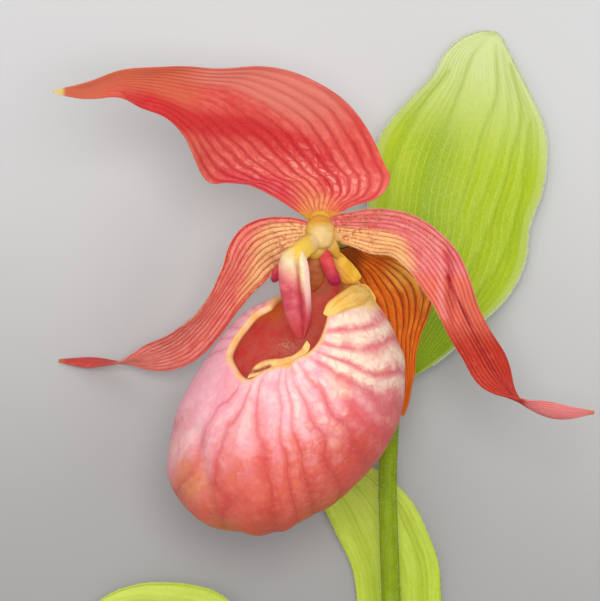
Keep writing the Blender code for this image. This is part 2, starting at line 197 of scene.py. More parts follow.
def sheet(name, point, nt, ns, th, mat, attrs=None, paint=None, relief=None, edge=0.45, floor=None):
    """A thin closed blade with relief on both faces."""
    nt, ns = max(8, int(nt * RES)), max(6, int(ns * RES))
    t = np.linspace(0, 1, nt + 1)
    s = np.sin(np.linspace(-1, 1, ns + 1) * math.pi / 2 * 0.72) / math.sin(math.pi / 2 * 0.72)
    T, S = np.meshgrid(t, s, indexing="ij")
    q = point(T.ravel(), S.ravel()).reshape(nt + 1, ns + 1, 3)
    n = grid_normals(q)
    if n[..., 2].mean() < 0:
        n = -n
    half = np.linalg.norm(q[:, -1] - q[:, 0], axis=1)[:, None] / 2 / MM * np.ones_like(S)
    L = np.cumsum(np.r_[0, np.linalg.norm(np.diff(q[:, ns // 2], axis=0), axis=1)])[:, None] / MM * np.ones_like(S)
    X, Y = q[..., 0] / UNIT + X0, Y0 - q[..., 1] / UNIT
    if relief is not None:
        q = q + n * (relief(T, S, half, L, X, Y) * MM)[..., None]
        n = grid_normals(q)
        if n[..., 2].mean() < 0:
            n = -n
    thick = th * MM * (edge + (1 - edge) * (1 - np.abs(S) ** 6)) / 2
    thick = thick * np.minimum(1, 0.5 + (1 - T) * 6)
    if floor is not None:
        q[..., 2] = np.maximum(q[..., 2], floor * MM + thick)
    top = q + n * thick[..., None]
    bot = q - n * thick[..., None]
    a, b = nt + 1, ns + 1
    co = np.concatenate([top.reshape(-1, 3), bot.reshape(-1, 3)])
    flip = np.dot(np.cross(q[1, 0] - q[0, 0], q[0, 1] - q[0, 0]), n[0, 0]) < 0
    f = [grid_faces(a, b, 0, flip), grid_faces(a, b, a * b, not flip)]
    ring = np.concatenate([np.arange(b - 1), np.arange(a - 1) * b + b - 1,
                           (a - 1) * b + np.arange(b - 1, 0, -1), np.arange(a - 1, 0, -1) * b])
    nxt = np.roll(ring, -1)
    rim = np.stack([ring, nxt, nxt + a * b, ring + a * b], -1)
    f.append(rim if flip else rim[:, ::-1])
    # the strip's winding is settled by the top grid it joins
    two = lambda x: np.concatenate([x.ravel(), x.ravel()])
    at = {"t": two(T), "s": two(S), "half": two(half), "len": two(L),
          "side": np.r_[np.ones(a * b), -np.ones(a * b)]}
    if attrs:
        for k, fn in attrs.items():
            at[k] = two(fn(T, S, half, L))
    for k, fn in (paint or {}).items():
        at[k] = two(np.clip(fn(X, Y, T, S), 0, 1))
    uv = np.c_[two((S + 1) / 2), two(T)]
    ob = mesh_object(name, co, np.concatenate(f), mat, at, uv)
    fix_outward(ob)
    return ob, q, n, T, S


def fix_outward(ob):
    """Consistent outward faces on a closed mesh."""
    import bmesh
    bm = bmesh.new()
    bm.from_mesh(ob.data)
    bmesh.ops.recalc_face_normals(bm, faces=bm.faces)
    if bm.calc_volume(signed=True) < 0:
        bmesh.ops.reverse_faces(bm, faces=bm.faces)
    bm.to_mesh(ob.data)
    bm.free()


def tube(name, path, radii, mat, nu=32, nv=60, flat=1.0, side=(1, 0, 0), power=2.4, section=None, attrs=None,
         relief=None, ends=True):
    """A closed rounded body along a path, with any section."""
    nu, nv = max(8, int(nu * RES)), max(8, int(nv * RES))
    rows = np.c_[place(np.asarray(path, float)), np.asarray(radii, float)[:, None] * MM]
    key = rows[:, :3]
    if ends:
        c = np.cos(np.linspace(0.02, math.pi - 0.02, nv))
        t = (1 - c) / 2
        prof = np.power(np.clip(1 - np.abs(c) ** power, 0, 1), 0.5)
    else:
        t = np.linspace(0, 1, nv)
        prof = np.ones(nv)
    v = spline(rows, t, key)
    e = 5e-3
    w = spline(rows, np.clip(t + e, 0, 1), key) - spline(rows, np.clip(t - e, 0, 1), key)
    along = unit(w[:, :3])
    across = unit(np.cross(np.cross(along, np.array(side, float)), along))
    nn = np.cross(along, across)
    az = np.linspace(0, math.tau, nu, endpoint=False)
    A, T = np.meshgrid(az, t)
    ca, sa = np.cos(A), np.sin(A) * flat
    if section is not None:
        ca, sa = section(A, T, ca, sa)
    rad = (v[:, 3] * prof)[:, None]
    q = v[:, None, :3] + across[:, None] * (rad * ca)[..., None] + nn[:, None] * (rad * sa)[..., None]
    if relief is not None:
        n = grid_normals(q, True)
        out = q - v[:, None, :3]
        n = np.where((n * out).sum(-1, keepdims=True) < 0, -n, n)
        q = q + n * (relief(A, T) * MM)[..., None]
    co = np.concatenate([q.reshape(-1, 3), q[0].mean(0)[None], q[-1].mean(0)[None]])
    f = grid_faces(nv, nu, 0, False, True)
    j = np.arange(nu)
    jn = (j + 1) % nu
    top, end = nv * nu, nv * nu + 1
    # the two caps, as quads with a doubled corner avoided: triangles kept apart
    tri = np.concatenate([np.stack([np.full(nu, top), j, jn], -1),
                          np.stack([np.full(nu, end), (nv - 1) * nu + jn, (nv - 1) * nu + j], -1)])
    import bmesh
    me = bpy.data.meshes.new(name)
    me.from_pydata(co.tolist(), [], f.tolist() + tri.tolist())
    me.polygons.foreach_set("use_smooth", np.ones(len(me.polygons), bool))
    ext = lambda x: np.r_[x.ravel(), x[0].mean(), x[-1].mean()]
    at = {"t": ext(T), "az": ext(A), "s": ext(np.cos(A)), "front": ext(np.sin(A))}
    if attrs:
        for k, fn in attrs.items():
            at[k] = ext(fn(A, T))
    for k, val in at.items():
        x = me.attributes.new(k, "FLOAT", "POINT")
        x.data.foreach_set("value", np.asarray(val, np.float32))
    me.update()
    ob = bpy.data.objects.new(name, me)
    bpy.context.scene.collection.objects.link(ob)
    me.materials.append(mat)
    fix_outward(ob)
    return ob, q


def hairs(name, base, direction, length, radius, mat, sag=0.3, sides=3, steps=2):
    """Fine tapering hairs as real thin cones."""
    base, direction = np.asarray(base, float), unit(np.asarray(direction, float))
    m = len(base)
    length = np.broadcast_to(np.asarray(length, float), (m,)) * MM
    radius = np.broadcast_to(np.asarray(radius, float), (m,)) * MM
    ref = np.where(np.abs(direction[:, 2:3]) > 0.9, np.array([1.0, 0, 0]), np.array([0, 0, 1.0]))
    a = unit(np.cross(direction, ref))
    b = np.cross(direction, a)
    r = np.random.default_rng(len(name) * 31 + m)
    bend = unit(a * r.normal(size=(m, 1)) + b * r.normal(size=(m, 1)) + np.array([0, 0, -0.3]))
    co = []
    for k in range(steps):
        x = k / steps
        c = base + direction * (length * x)[:, None] + bend * (length * sag * x * x)[:, None]
        rr = radius * (1 - 0.75 * x)
        for j in range(sides):
            g = math.tau * j / sides
            co.append(c + (a * math.cos(g) + b * math.sin(g)) * rr[:, None])
    co.append(base + direction * length[:, None] + bend * (length * sag)[:, None])
    co.append(base - direction * (radius * 0.5)[:, None])
    per = steps * sides + 2
    co = np.stack(co, 1).reshape(-1, 3)
    f = []
    for k in range(steps - 1):
        for j in range(sides):
            jn = (j + 1) % sides
            f.append([k * sides + j, k * sides + jn, (k + 1) * sides + jn])
            f.append([k * sides + j, (k + 1) * sides + jn, (k + 1) * sides + j])
    for j in range(sides):
        jn = (j + 1) % sides
        f.append([(steps - 1) * sides + j, (steps - 1) * sides + jn, steps * sides])
        f.append([jn, j, steps * sides + 1])
    f = np.array(f)[None] + (np.arange(m) * per)[:, None, None]
    return mesh_object(name, co, f.reshape(-1, 3), mat)


# ------------------------------------------------------------------ material helpers
def lin(r, g, b):
    def f(x):
        x /= 255.0
        return x / 12.92 if x <= 0.04045 else ((x + 0.055) / 1.055) ** 2.4
    return (f(r), f(g), f(b), 1.0)


class Mat:
    """Small helper that builds node trees."""

    def __init__(self, name, rough=0.5):
        self.m = bpy.data.materials.new(name)
        self.m.use_nodes = True
        self.nt = self.m.node_tree
        self.b = self.nt.nodes["Principled BSDF"]
        self.b.inputs["Roughness"].default_value = rough
        self.b.inputs["Specular IOR Level"].default_value = 0.2

    def node(self, kind, **kw):
        n = self.nt.nodes.new(kind)
        for k, v in kw.items():
            setattr(n, k, v)
        return n

    def put(self, sock, v):
        if isinstance(v, bpy.types.NodeSocket):
            self.nt.links.new(v, sock)
        else:
            sock.default_value = v

    def attr(self, name):
        return self.node("ShaderNodeAttribute", attribute_name=name).outputs["Fac"]

    def math(self, op, a, b=None, c=None, clamp=False):
        n = self.node("ShaderNodeMath", operation=op, use_clamp=clamp)
        self.put(n.inputs[0], a)
        if b is not None:
            self.put(n.inputs[1], b)
        if c is not None:
            self.put(n.inputs[2], c)
        return n.outputs[0]

    def add(self, a, b): return self.math("ADD", a, b)
    def sub(self, a, b): return self.math("SUBTRACT", a, b)
    def mul(self, a, b): return self.math("MULTIPLY", a, b)
    def mx(self, a, b): return self.math("MAXIMUM", a, b)

    def step(self, x, a, b, lo=0.0, hi=1.0):
        n = self.node("ShaderNodeMapRange", interpolation_type="SMOOTHSTEP")
        self.put(n.inputs["Value"], x)
        n.inputs["From Min"].default_value = a
        n.inputs["From Max"].default_value = b
        n.inputs["To Min"].default_value = lo
        n.inputs["To Max"].default_value = hi
        return n.outputs["Result"]

    def obj(self):
        return self.node("ShaderNodeTexCoord").outputs["Object"]

    def noise(self, scale, detail=3.0, rough=0.5, vec=None, dist=0.0):
        n = self.node("ShaderNodeTexNoise")
        n.inputs["Scale"].default_value = scale
        n.inputs["Detail"].default_value = detail
        n.inputs["Roughness"].default_value = rough
        n.inputs["Distortion"].default_value = dist
        self.put(n.inputs["Vector"], vec if vec is not None else self.obj())
        return n.outputs["Fac"]

    def voronoi(self, scale, feature="F1", vec=None, rand=1.0):
        n = self.node("ShaderNodeTexVoronoi", feature=feature)
        n.inputs["Scale"].default_value = scale
        n.inputs["Randomness"].default_value = rand
        self.put(n.inputs["Vector"], vec if vec is not None else self.obj())
        return n.outputs["Distance"]

    def cells(self, scale, vec=None, rand=1.0):
        """Distance to the nearest cell wall, and a value that differs from cell to cell."""
        wall = self.voronoi(scale, "DISTANCE_TO_EDGE", vec, rand)
        n = self.node("ShaderNodeTexVoronoi", feature="F1")
        n.inputs["Scale"].default_value = scale
        n.inputs["Randomness"].default_value = rand
        self.put(n.inputs["Vector"], vec if vec is not None else self.obj())
        sep = self.node("ShaderNodeSeparateColor")
        self.put(sep.inputs[0], n.outputs["Color"])
        return wall, sep.outputs[0]

    def combine(self, x, y, z=0.0):
        n = self.node("ShaderNodeCombineXYZ")
        self.put(n.inputs[0], x)
        self.put(n.inputs[1], y)
        self.put(n.inputs[2], z)
        return n.outputs[0]

    def mix(self, f, a, b, mode="MIX"):
        n = self.node("ShaderNodeMix", data_type="RGBA", blend_type=mode)
        self.put(n.inputs[0], f)
        self.put(n.inputs[6], a)
        self.put(n.inputs[7], b)
        return n.outputs[2]

    def stripe(self, v, width, soft):
        """1 on lines at whole numbers + 0.5 of v."""
        f = self.math("FRACT", v)
        d = self.math("ABSOLUTE", self.sub(f, 0.5))
        return self.step(d, width, width + soft, 1.0, 0.0)

    def bump(self, h, strength, dist):
        n = self.node("ShaderNodeBump")
        n.inputs["Strength"].default_value = strength
        n.inputs["Distance"].default_value = dist
        self.put(n.inputs["Height"], h)
        return n

    def colour(self, c):
        self.put(self.b.inputs["Base Color"], c)
        return self


def petal_material(name, base, light, deep, vein, layers, vw=0.06, vsoft=0.16, vein_amt=0.8, rough=0.47, fleck=None,
                   fleck_amt=0.8, dot=None):
    """Petal tissue: veins along the blade, streaks between them and a fine cell bump.
    A layer is an attribute, a colour and how much the streaks break its border."""
    k = Mat(name, rough)
    v, ln = k.attr("vein"), k.attr("len")
    o = k.obj()
    streak = k.noise(1.0, 4, 0.6, k.combine(k.mul(v, 2.3), k.mul(ln, 0.32), 3.0))
    blot = k.noise(1.0, 3, 0.55, k.combine(k.mul(v, 0.8), k.mul(ln, 0.16), 9.0))
    grain = k.noise(1.0, 3, 0.65, k.combine(k.mul(v, 5.5), k.mul(ln, 1.7), 5.0))
    fine = k.noise(900.0, 3, 0.6, o)
    c = k.mix(k.step(streak, 0.36, 0.66), base, light)
    c = k.mix(k.step(blot, 0.52, 0.34, 0.0, 0.55), c, deep)
    for attr, colour, break_up in layers:
        w = k.add(k.attr(attr), k.mul(k.sub(streak, 0.5), break_up))
        c = k.mix(k.step(w, 0.12, 0.88), c, colour)
    if fleck is not None:
        off = k.math("ABSOLUTE", k.sub(k.math("FRACT", k.add(v, k.mul(k.sub(blot, 0.5), 0.55))), 0.5))
        wall, rnd = k.cells(1.0, k.combine(k.add(k.mul(v, 1.5), k.mul(k.sub(grain, 0.5), 0.6)),
                                           k.add(k.mul(ln, 0.50), k.mul(k.sub(streak, 0.5), 1.2)), 4.0))
        core = k.mul(k.step(k.add(off, k.mul(k.sub(grain, 0.5), 0.30)), 0.10, 0.36),
                     k.mul(k.step(wall, -0.02, 0.22), k.step(rnd, 0.0, 0.75, 0.25, 1.0)))
        c = k.mix(k.mul(k.mul(k.attr("speck"), core), fleck_amt), c, fleck)
    wander = k.add(k.mul(k.sub(blot, 0.5), 0.55), k.mul(k.sub(grain, 0.5), 0.16))
    vj = k.add(v, wander)
    l1 = k.stripe(vj, vw, vsoft)
    l1 = k.mul(l1, k.step(streak, 0.25, 0.6, 0.4, 1.0))
    l2 = k.stripe(k.add(k.mul(v, 2.0), k.mul(wander, 2.6)), 0.02, 0.16)
    amt = k.mx(l1, k.mul(k.mul(l2, k.step(blot, 0.4, 0.6)), k.mul(k.attr("split"), 0.55)))
    amt = k.mul(amt, k.attr("veiny"))
    c = k.mix(k.mul(amt, vein_amt), c, vein)
    if dot is not None:
        spots = k.noise(1300.0, 2, 0.7, o)
        spots = k.mul(k.step(spots, 0.46, 0.62), k.step(k.noise(420.0, 2, 0.5, o), 0.28, 0.52))
        c = k.mix(k.mul(spots, k.mul(k.attr("dots"), 0.9)), c, dot)
    c = k.mix(k.step(grain, 0.50, 0.75, 0.0, 0.26), c, light)
    c = k.mix(k.step(grain, 0.48, 0.25, 0.0, 0.26), c, deep)
    c = k.mix(k.step(fine, 0.50, 0.75, 0.0, 0.16), c, light)
    k.colour(c)
    cells = k.voronoi(2600.0, "F1", o)
    h = k.add(k.mul(cells, 0.25), k.mul(fine, 0.6))
    h = k.sub(h, k.mul(l1, 0.5))
    n = k.bump(h, 0.45, 0.00012)
    k.put(k.b.inputs["Normal"], n.outputs[0])
    k.put(k.b.inputs["Roughness"], k.step(fine, 0.3, 0.7, rough - 0.08, rough + 0.12))
    k.b.inputs["Subsurface Weight"].default_value = 0.15
    k.b.inputs["Subsurface Radius"].default_value = (0.0012, 0.0005, 0.0003)
    k.b.inputs["Subsurface Scale"].default_value = 0.5
    return k.m


def leaf_material(name, base, light, deep, line, pale, vw=0.03, vsoft=0.11):
    k = Mat(name, 0.5)
    v, ln = k.attr("vein"), k.attr("len")
    o = k.obj()
    fine = k.noise(1100.0, 3, 0.6, o)
    streak = k.noise(1.0, 3, 0.6, k.combine(k.mul(v, 1.6), k.mul(ln, 0.20), 2.0))
    grain = k.noise(1.0, 3, 0.65, k.combine(k.mul(v, 4.0), k.mul(ln, 1.5), 6.0))
    c = k.mix(k.step(streak, 0.38, 0.64), base, light)
    c = k.mix(k.attr("deep"), c, deep)
    c = k.mix(k.attr("pale"), c, pale)
    vj = k.add(v, k.mul(k.sub(streak, 0.5), 0.12))
    l1 = k.mul(k.stripe(vj, vw, vsoft), k.step(grain, 0.3, 0.6, 0.45, 1.0))
    c = k.mix(k.mul(l1, k.attr("veiny")), c, line)
    l2 = k.stripe(k.add(k.mul(v, 3.0), 0.25), 0.02, 0.2)
    c = k.mix(k.mul(l2, 0.09), c, line)
    # painted shade: darker along the pleat creases
    c = k.mix(k.mul(k.attr("crease"), 0.42), c, deep)
    # short cross-links between the long veins
    cross = k.voronoi(1.0, "DISTANCE_TO_EDGE", k.combine(k.mul(v, 1.5), k.mul(ln, 0.9)))
    c = k.mix(k.step(cross, 0.10, 0.0, 0.0, 0.24), c, line)
    c = k.mix(k.step(grain, 0.5, 0.75, 0.0, 0.30), c, light)
    c = k.mix(k.step(grain, 0.48, 0.25, 0.0, 0.34), c, deep)
    c = k.mix(k.step(fine, 0.5, 0.75, 0.0, 0.14), c, light)
    k.colour(c)
    h = k.add(k.mul(fine, 0.5), k.mul(l1, 0.3))
    n = k.bump(h, 0.5, 0.00014)
    k.put(k.b.inputs["Normal"], n.outputs[0])
    k.put(k.b.inputs["Roughness"], k.step(fine, 0.3, 0.7, 0.42, 0.58))
    k.b.inputs["Subsurface Weight"].default_value = 0.10
    k.b.inputs["Subsurface Radius"].default_value = (0.0006, 0.0012, 0.0003)
    k.b.inputs["Subsurface Scale"].default_value = 0.5
    return k.m


def hair_material(name, colour):
    k = Mat(name, 0.6)
    c = k.mix(k.noise(600.0, 2), colour, tuple(min(1.0, x * 1.25) for x in colour[:3]) + (1.0,))
    k.colour(c)
    return k.m


def done(ob, node):
    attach(ob, "root")
    if node:
        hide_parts(*([node] if isinstance(node, str) else node))
    return ob


# ------------------------------------------------------------------ green parts
STEM = [(393, 386, 15.2), (391, 430, 13.9), (389, 480, 12.5), (391, 560, 10.3),
        (394, 640, 8.1), (395, 740, 5.6), (397, 840, 3.5), (399, 905, 2.2)]
OVARY = [(393, 384.4, 15.25), (394, 345, 16.0), (390, 308, 18.2), (378, 275, 23.4),
         (360, 252, 29.6), (342, 238, 35.0), (327, 229, 40.2)]


def stem_material(name, base, light, deep):
    k = Mat(name, 0.48)
    o = k.obj()
    fine = k.noise(1200.0, 3, 0.6, o)
    mid = k.noise(260.0, 3, 0.5, o)
    long = k.noise(1.0, 3, 0.6, k.combine(k.mul(k.attr("s"), 7.0), k.mul(k.attr("t"), 9.0), k.mul(k.attr("front"), 7.0)))
    c = k.mix(k.step(long, 0.35, 0.65), base, light)
    c = k.mix(k.step(mid, 0.45, 0.7, 0.0, 0.4), c, deep)
    c = k.mix(k.step(fine, 0.5, 0.75, 0.0, 0.25), c, light)
    k.colour(c)
    n = k.bump(k.add(k.mul(fine, 0.6), long), 0.4, 0.00015)
    k.put(k.b.inputs["Normal"], n.outputs[0])
    k.put(k.b.inputs["Roughness"], k.step(fine, 0.3, 0.7, 0.4, 0.58))
    return k.m


stem_mat = stem_material("stem_skin", lin(126, 152, 0), lin(144, 170, 14), lin(106, 134, 0))
stem_ridge = lambda A, T: 0.05 * np.cos(9 * A + 1.5 * np.sin(6 * T)) * smooth(0, 0.02, T)
stem, stem_q = tube("stem_fine", STEM, [1.95, 1.85, 1.85, 1.9, 2.0, 2.1, 2.2, 2.2], stem_mat, 36, 160,
                    ends=False, relief=stem_ridge)
done(stem, "stem")
ovary_mat = stem_material("ovary_skin", lin(150, 160, 50), lin(190, 180, 80), lin(110, 110, 30))
ovary, ovary_q = tube("ovary_fine", [(393, 394, 14.95)] + OVARY + [(322, 225, 44.0)],
                      [1.7, 1.97, 2.1, 2.3, 2.4, 2.35, 2.2, 2.15, 1.9], ovary_mat, 48, 90, power=8,
                      relief=lambda A, T: 0.16 * (np.abs(np.cos(3 * A)) - 0.6) * smooth(0, 0.1, T) * smooth(1, 0.9, T))
done(ovary, "ovary")

BRACT = [
    (389, 384, 11.6, 399, 386, 11.6, -0.2), (384, 360, 9.0, 420, 376, 9.6, -1.2),
    (379, 325, 6.4, 448, 357, 7.6, -2.2), (374, 285, 4.6, 482, 325, 6.2, -3.0),
    (371, 245, 3.8, 510, 297, 5.2, -3.4), (370, 205, 3.5, 528, 262, 4.8, -3.4),
    (373, 172, 3.4, 534, 222, 4.6, -3.3), (379, 142, 3.3, 546, 190, 4.4, -3.2),
    (394, 116, 3.2, 551, 150, 4.2, -3.0), (416, 92, 3.0, 547, 120, 3.8, -2.6),
    (437, 70, 2.7, 534, 90, 3.3, -2.1), (451, 46, 2.4, 522, 66, 2.8, -1.6),
    (467, 33, 2.0, 514, 50, 2.2, -1.0), (487, 26, 1.4, 508, 38, 1.5, -0.5),
    (500, 26, 0.9, 505, 30, 0.9, -0.1)]
LEAF_UPPER = [
    (388, 806, 1.1, 400, 806, 1.1, 0.0), (376, 770, 1.1, 418, 770, 1.3, -0.3),
    (362, 720, 1.3, 436, 715, 1.8, -0.8), (357, 660, 1.6, 445, 655, 2.4, -1.1),
    (358, 600, 1.8, 443, 600, 2.8, -1.3), (353, 572, 1.9, 441, 570, 3.0, -1.4),
    (338, 540, 2.1, 431, 540, 3.1, -1.5), (322, 508, 2.3, 412, 503, 3.2, -1.5),
    (306, 485, 2.3, 385, 478, 3.0, -1.3), (294, 465, 2.0, 352, 460, 2.6, -1.0),
    (284, 450, 1.5, 315, 447, 1.8, -0.4), (278, 441, 1.0, 281, 440, 1.0, 0.0)]
LEAF_LOWER = [
    (381, 838, 1.6, 381, 850, 1.4, 0.0), (360, 805, 2.0, 366, 852, 1.0, -0.5),
    (330, 755, 2.4, 335, 840, 0.9, -1.0), (290, 695, 2.8, 295, 812, 1.0, -1.4),
    (250, 638, 3.0, 250, 778, 1.1, -1.6), (221, 602, 3.0, 205, 742, 1.2, -1.7),
    (192, 591, 2.9, 165, 714, 1.3, -1.6), (163, 588, 2.7, 130, 694, 1.4, -1.4),
    (134, 590, 2.4, 100, 680, 1.4, -1.1), (104, 601, 2.0, 75, 670, 1.3, -0.8),
    (78, 622, 1.5, 58, 663, 1.1, -0.4), (53, 655, 1.0, 50, 659, 0.9, 0.0)]


def dropped(rows, d):
    return [(a, b, c - d, e, f, g - d, h) for a, b, c, e, f, g, h in rows]


BRACT_CREASES = [
    [(490, 34), (480, 44), (466, 79), (450, 121), (438, 150), (428, 185), (421, 223), (408, 300)],
    [(500, 40), (499, 98), (487, 126), (476, 166), (461, 213), (447, 251), (420, 320)],
    [(515, 60), (525, 114), (516, 152), (502, 204), (485, 246), (471, 275), (440, 325)],
    [(534, 120), (524, 200), (502, 265), (478, 296), (450, 330)],
    [(452, 66), (419, 110), (402, 143), (393, 171), (388, 209), (386, 280)],
    [(505, 30), (512, 110), (500, 160), (482, 205), (466, 245), (432, 320)]]


def closed(p):
    """A smooth fine line through a few points."""
    p = np.asarray(p, float)
    d = np.r_[0, np.cumsum(np.hypot(*np.diff(p, axis=0).T))]
    t = np.linspace(0, d[-1], 40)
    k = np.c_[p, np.zeros(len(p))]
    return [tuple(v) for v in spline(k, t / d[-1], k)[:, :2]]


# mask of the painted crease shade on the bract
def bract_crease(X, Y):
    lines = [near_line(X, Y, closed(p), 2.4) * (1.0 if i < 5 else 0.5) for i, p in enumerate(BRACT_CREASES)]
    return np.max(lines, axis=0) * smooth(24, 60, Y)


def pleats(n_main, depth, n_fine, fine, shift=0.0, lines=None):
    def relief(T, S, half, L, X, Y):
        body = smooth(0.0, 0.25, T) * smooth(1.0, 0.8, T)
        if lines:
            fold = -0.30 * np.max([near_line(X, Y, closed(p), 7.0) for p in lines], axis=0)
        else:
            x = (S + 1) / 2 * n_main + shift + 0.18 * np.sin(4 * T + 1.0)
            fold = 1 - np.abs(2 * (x - np.floor(x)) - 1) ** 1.3 - 0.5
        y = (S + 1) / 2 * n_fine
        return (depth * fold * body * np.minimum(1, half / 8)
                + fine * np.cos(math.tau * y) * np.minimum(1, half / 6)
                + 0.25 * wavy(S * 0.5, T * 2.0, 3) * np.abs(S) ** 3)
    return relief


# mask of the painted crease shade on the leaves
def leaf_crease(n_main, shift):
    def fn(X, Y, T, S):
        x = ((S + 1) / 2 * n_main + shift + 0.18 * np.sin(4 * T + 1.0)) % 1.0
        return np.clip(1 - np.minimum(x, 1 - x) / 0.08, 0, 1) * smooth(0, 0.15, T)
    return fn


def leaf_attrs(n_fine):
    return {"vein": lambda T, S, h, L: (S + 1) / 2 * n_fine + 0.5,
            "veiny": lambda T, S, h, L: 0.42 * np.minimum(1, h / 6) * (1 - 0.6 * smooth(0.55, 0.95, np.abs(S)))}


bract_mat = leaf_material("bract_tissue", lin(172, 196, 24), lin(180, 201, 38), lin(130, 164, 0), lin(202, 216, 84),
                          lin(216, 226, 170))
bract, bract_q, bract_n, bT, bS = sheet(
    "floral_bract_fine", edged_surface(dropped(BRACT, 0.45)), 200, 130, 0.45, bract_mat, leaf_attrs(24),
    {"crease": lambda X, Y, T, S: bract_crease(X, Y),
     "deep": lambda X, Y, T, S: 0.62 * near_line(X, Y, [(444, 140), (433, 190), (424, 240), (418, 300)], 26)
     + 0.85 * smooth(285, 345, Y) * smooth(500, 455, X) + 0.25 * smooth(140, 240, Y),
     "pale": lambda X, Y, T, S: 0.95 * smooth(170, 20, Y - 0.30 * (X - 480)) * smooth(385, 440, X + 0.4 * (150 - Y))
     + 0.35 * smooth(0.86, 1.0, np.abs(S))},
    pleats(6, 1.0, 24, 0.02, lines=BRACT_CREASES), floor=0.0)
done(bract, "floral_bract")

leaf_mat = leaf_material("leaf_tissue", lin(180, 202, 38), lin(192, 212, 66), lin(150, 180, 18), lin(208, 220, 100),
                         lin(210, 222, 112))
leaf_up, lu_q, lu_n, _, _ = sheet(
    "stem_leaf_upper_fine", edged_surface(dropped(LEAF_UPPER, 0.5)), 130, 70, 0.5, leaf_mat, leaf_attrs(16),
    {"crease": leaf_crease(4, 0.0), "deep": lambda X, Y, T, S: 0.5 * smooth(0.5, 0.0, T),
     "pale": lambda X, Y, T, S: 0.4 * smooth(0.4, 0.9, T)},
    pleats(4, 0.6, 16, 0.05), floor=0.0)
done(leaf_up, "stem_leaf_upper")
leaf_low, ll_q, ll_n, _, _ = sheet(
    "stem_leaf_lower_fine", edged_surface(LEAF_LOWER), 130, 70, 0.5, leaf_mat, leaf_attrs(18),
    {"crease": leaf_crease(5, 0.0), "deep": lambda X, Y, T, S: 0.5 * smooth(0.5, 0.0, T),
     "pale": lambda X, Y, T, S: 0.6 * smooth(0.4, 0.9, T)},
    pleats(5, 0.7, 18, 0.05), floor=0.0)
done(leaf_low, "stem_leaf_lower")

# short sheaths where the bract and the leaves leave the stem
for sheath, path, radii, slot in [
        ("bract_sheath", [(394, 398, 14.1), (394, 388, 12.9), (395, 377, 11.0), (397, 364, 9.0)], [1.2, 1.5, 1.5, 0.9], "bract_green"),
        ("leaf_upper_sheath", [(396, 818, 3.4), (395, 806, 1.8), (396, 792, 1.0)], [1.2, 1.35, 1.25], "leaf_green"),
        ("leaf_lower_sheath", [(393, 846, 3.2), (383, 844, 2.1), (373, 842, 1.6)], [1.1, 1.2, 0.9], "leaf_green")]:
    body, _ = tube(sheath, path, radii, stem_mat, 28, 40, flat=0.55, power=3,
                   relief=lambda A, T: 0.06 * np.cos(7 * A))
    done(body, None)

# ------------------------------------------------------------------ sepals and petals
DORSAL = [
    (309, 225, 42.9, 331, 224, 42.8, -0.1), (306, 218, 43.6, 337, 216, 42.6, -0.6),
    (294, 210, 45.1, 352, 206, 41.6, -1.5),
    (276, 199, 47.2, 376, 198, 40.2, -2.8), (251, 188, 49.8, 390, 180, 39.4, -4.2),
    (229, 185, 52.2, 383, 160, 39.8, -5.0), (213, 184, 54.2, 369, 131, 41.8, -5.2),
    (203, 175, 56.0, 345, 101, 45.0, -5.0), (194, 160, 57.6, 308, 80, 49.0, -4.4),
    (184, 138, 59.4, 262, 68, 53.6, -3.6), (165, 119, 61.6, 215, 70, 58.0, -2.8),
    (139, 108, 64.4, 170, 67, 62.4, -2.0), (118, 101, 67.2, 128, 72, 66.8, -1.4),
    (98, 101, 70.0, 97, 82, 70.0, -0.9), (80, 101, 72.4, 74, 90, 73.0, -0.4),
    (59, 97, 75.0, 57, 94, 75.0, 0.0)]
PETAL_LEFT = [
    (313, 236, 43.6, 9, 2, 0.0), (302, 235, 43.8, 15, 4, -0.3), (285, 238, 43.9, 22, 8, -0.8),
    (264, 247, 41.4, 29, 14, -1.2),
    (243, 276, 36.6, 25, 36, -1.2), (222, 305, 31.0, 22, 46, -1.0), (203, 328, 26.0, 21, 38, -1.0),
    (180, 348, 20.0, 20, 22, -1.0), (150, 361, 13.0, 17, 36, -0.8), (117, 366, 7.0, 11, 88, -0.5),
    (85, 364, 2.6, 7, 132, -0.3), (54, 362, 0.36, 1.6, 150, 0.0)]
PETAL_RIGHT = [
    (327, 229, 43.8, 9, 0, 0.0), (337, 228, 44.5, 13, 0, -0.3), (351, 229, 46.6, 17, 0, -0.6), (371, 231, 49.2, 22, 2, -1.0),
    (405, 238, 53.8, 23, 4, -1.2), (433, 262, 57.2, 25, 0, -1.2), (448, 288, 57.6, 22, -4, -1.0),
    (459, 315, 55.8, 20, 0, -1.0), (476, 345, 53.2, 20, 6, -1.0), (497, 377, 51.4, 19, 26, -1.0),
    (519, 398, 50.4, 13, 86, -0.6), (549, 410, 50.4, 10, 148, -0.5), (593, 412, 51.4, 1.6, 165, 0.0)]
SYNSEPAL = [
    (336, 251, 36.4, 352, 246, 36.6, 0.0), (337, 266, 32.4, 380, 252, 34.6, -0.4),
    (342, 286, 29.4, 412, 266, 33.2, -0.9), (350, 310, 27.4, 434, 290, 32.2, -1.3),
    (358, 335, 26.2, 432, 309, 31.2, -1.4), (368, 358, 25.6, 423, 329, 30.0, -1.3),
    (380, 380, 25.4, 418, 352, 28.6, -1.0), (392, 400, 25.6, 415, 380, 27.2, -0.7),
    (400, 412, 26.0, 409, 404, 26.5, -0.3), (403.5, 417, 26.4, 405.5, 415, 26.4, 0.0)]


def vein_coord(n, seed, amp=0.25):
    return lambda T, S, h, L: (S + 1) / 2 * n + amp * wavy(S * 0.4, T * 1.3, seed)


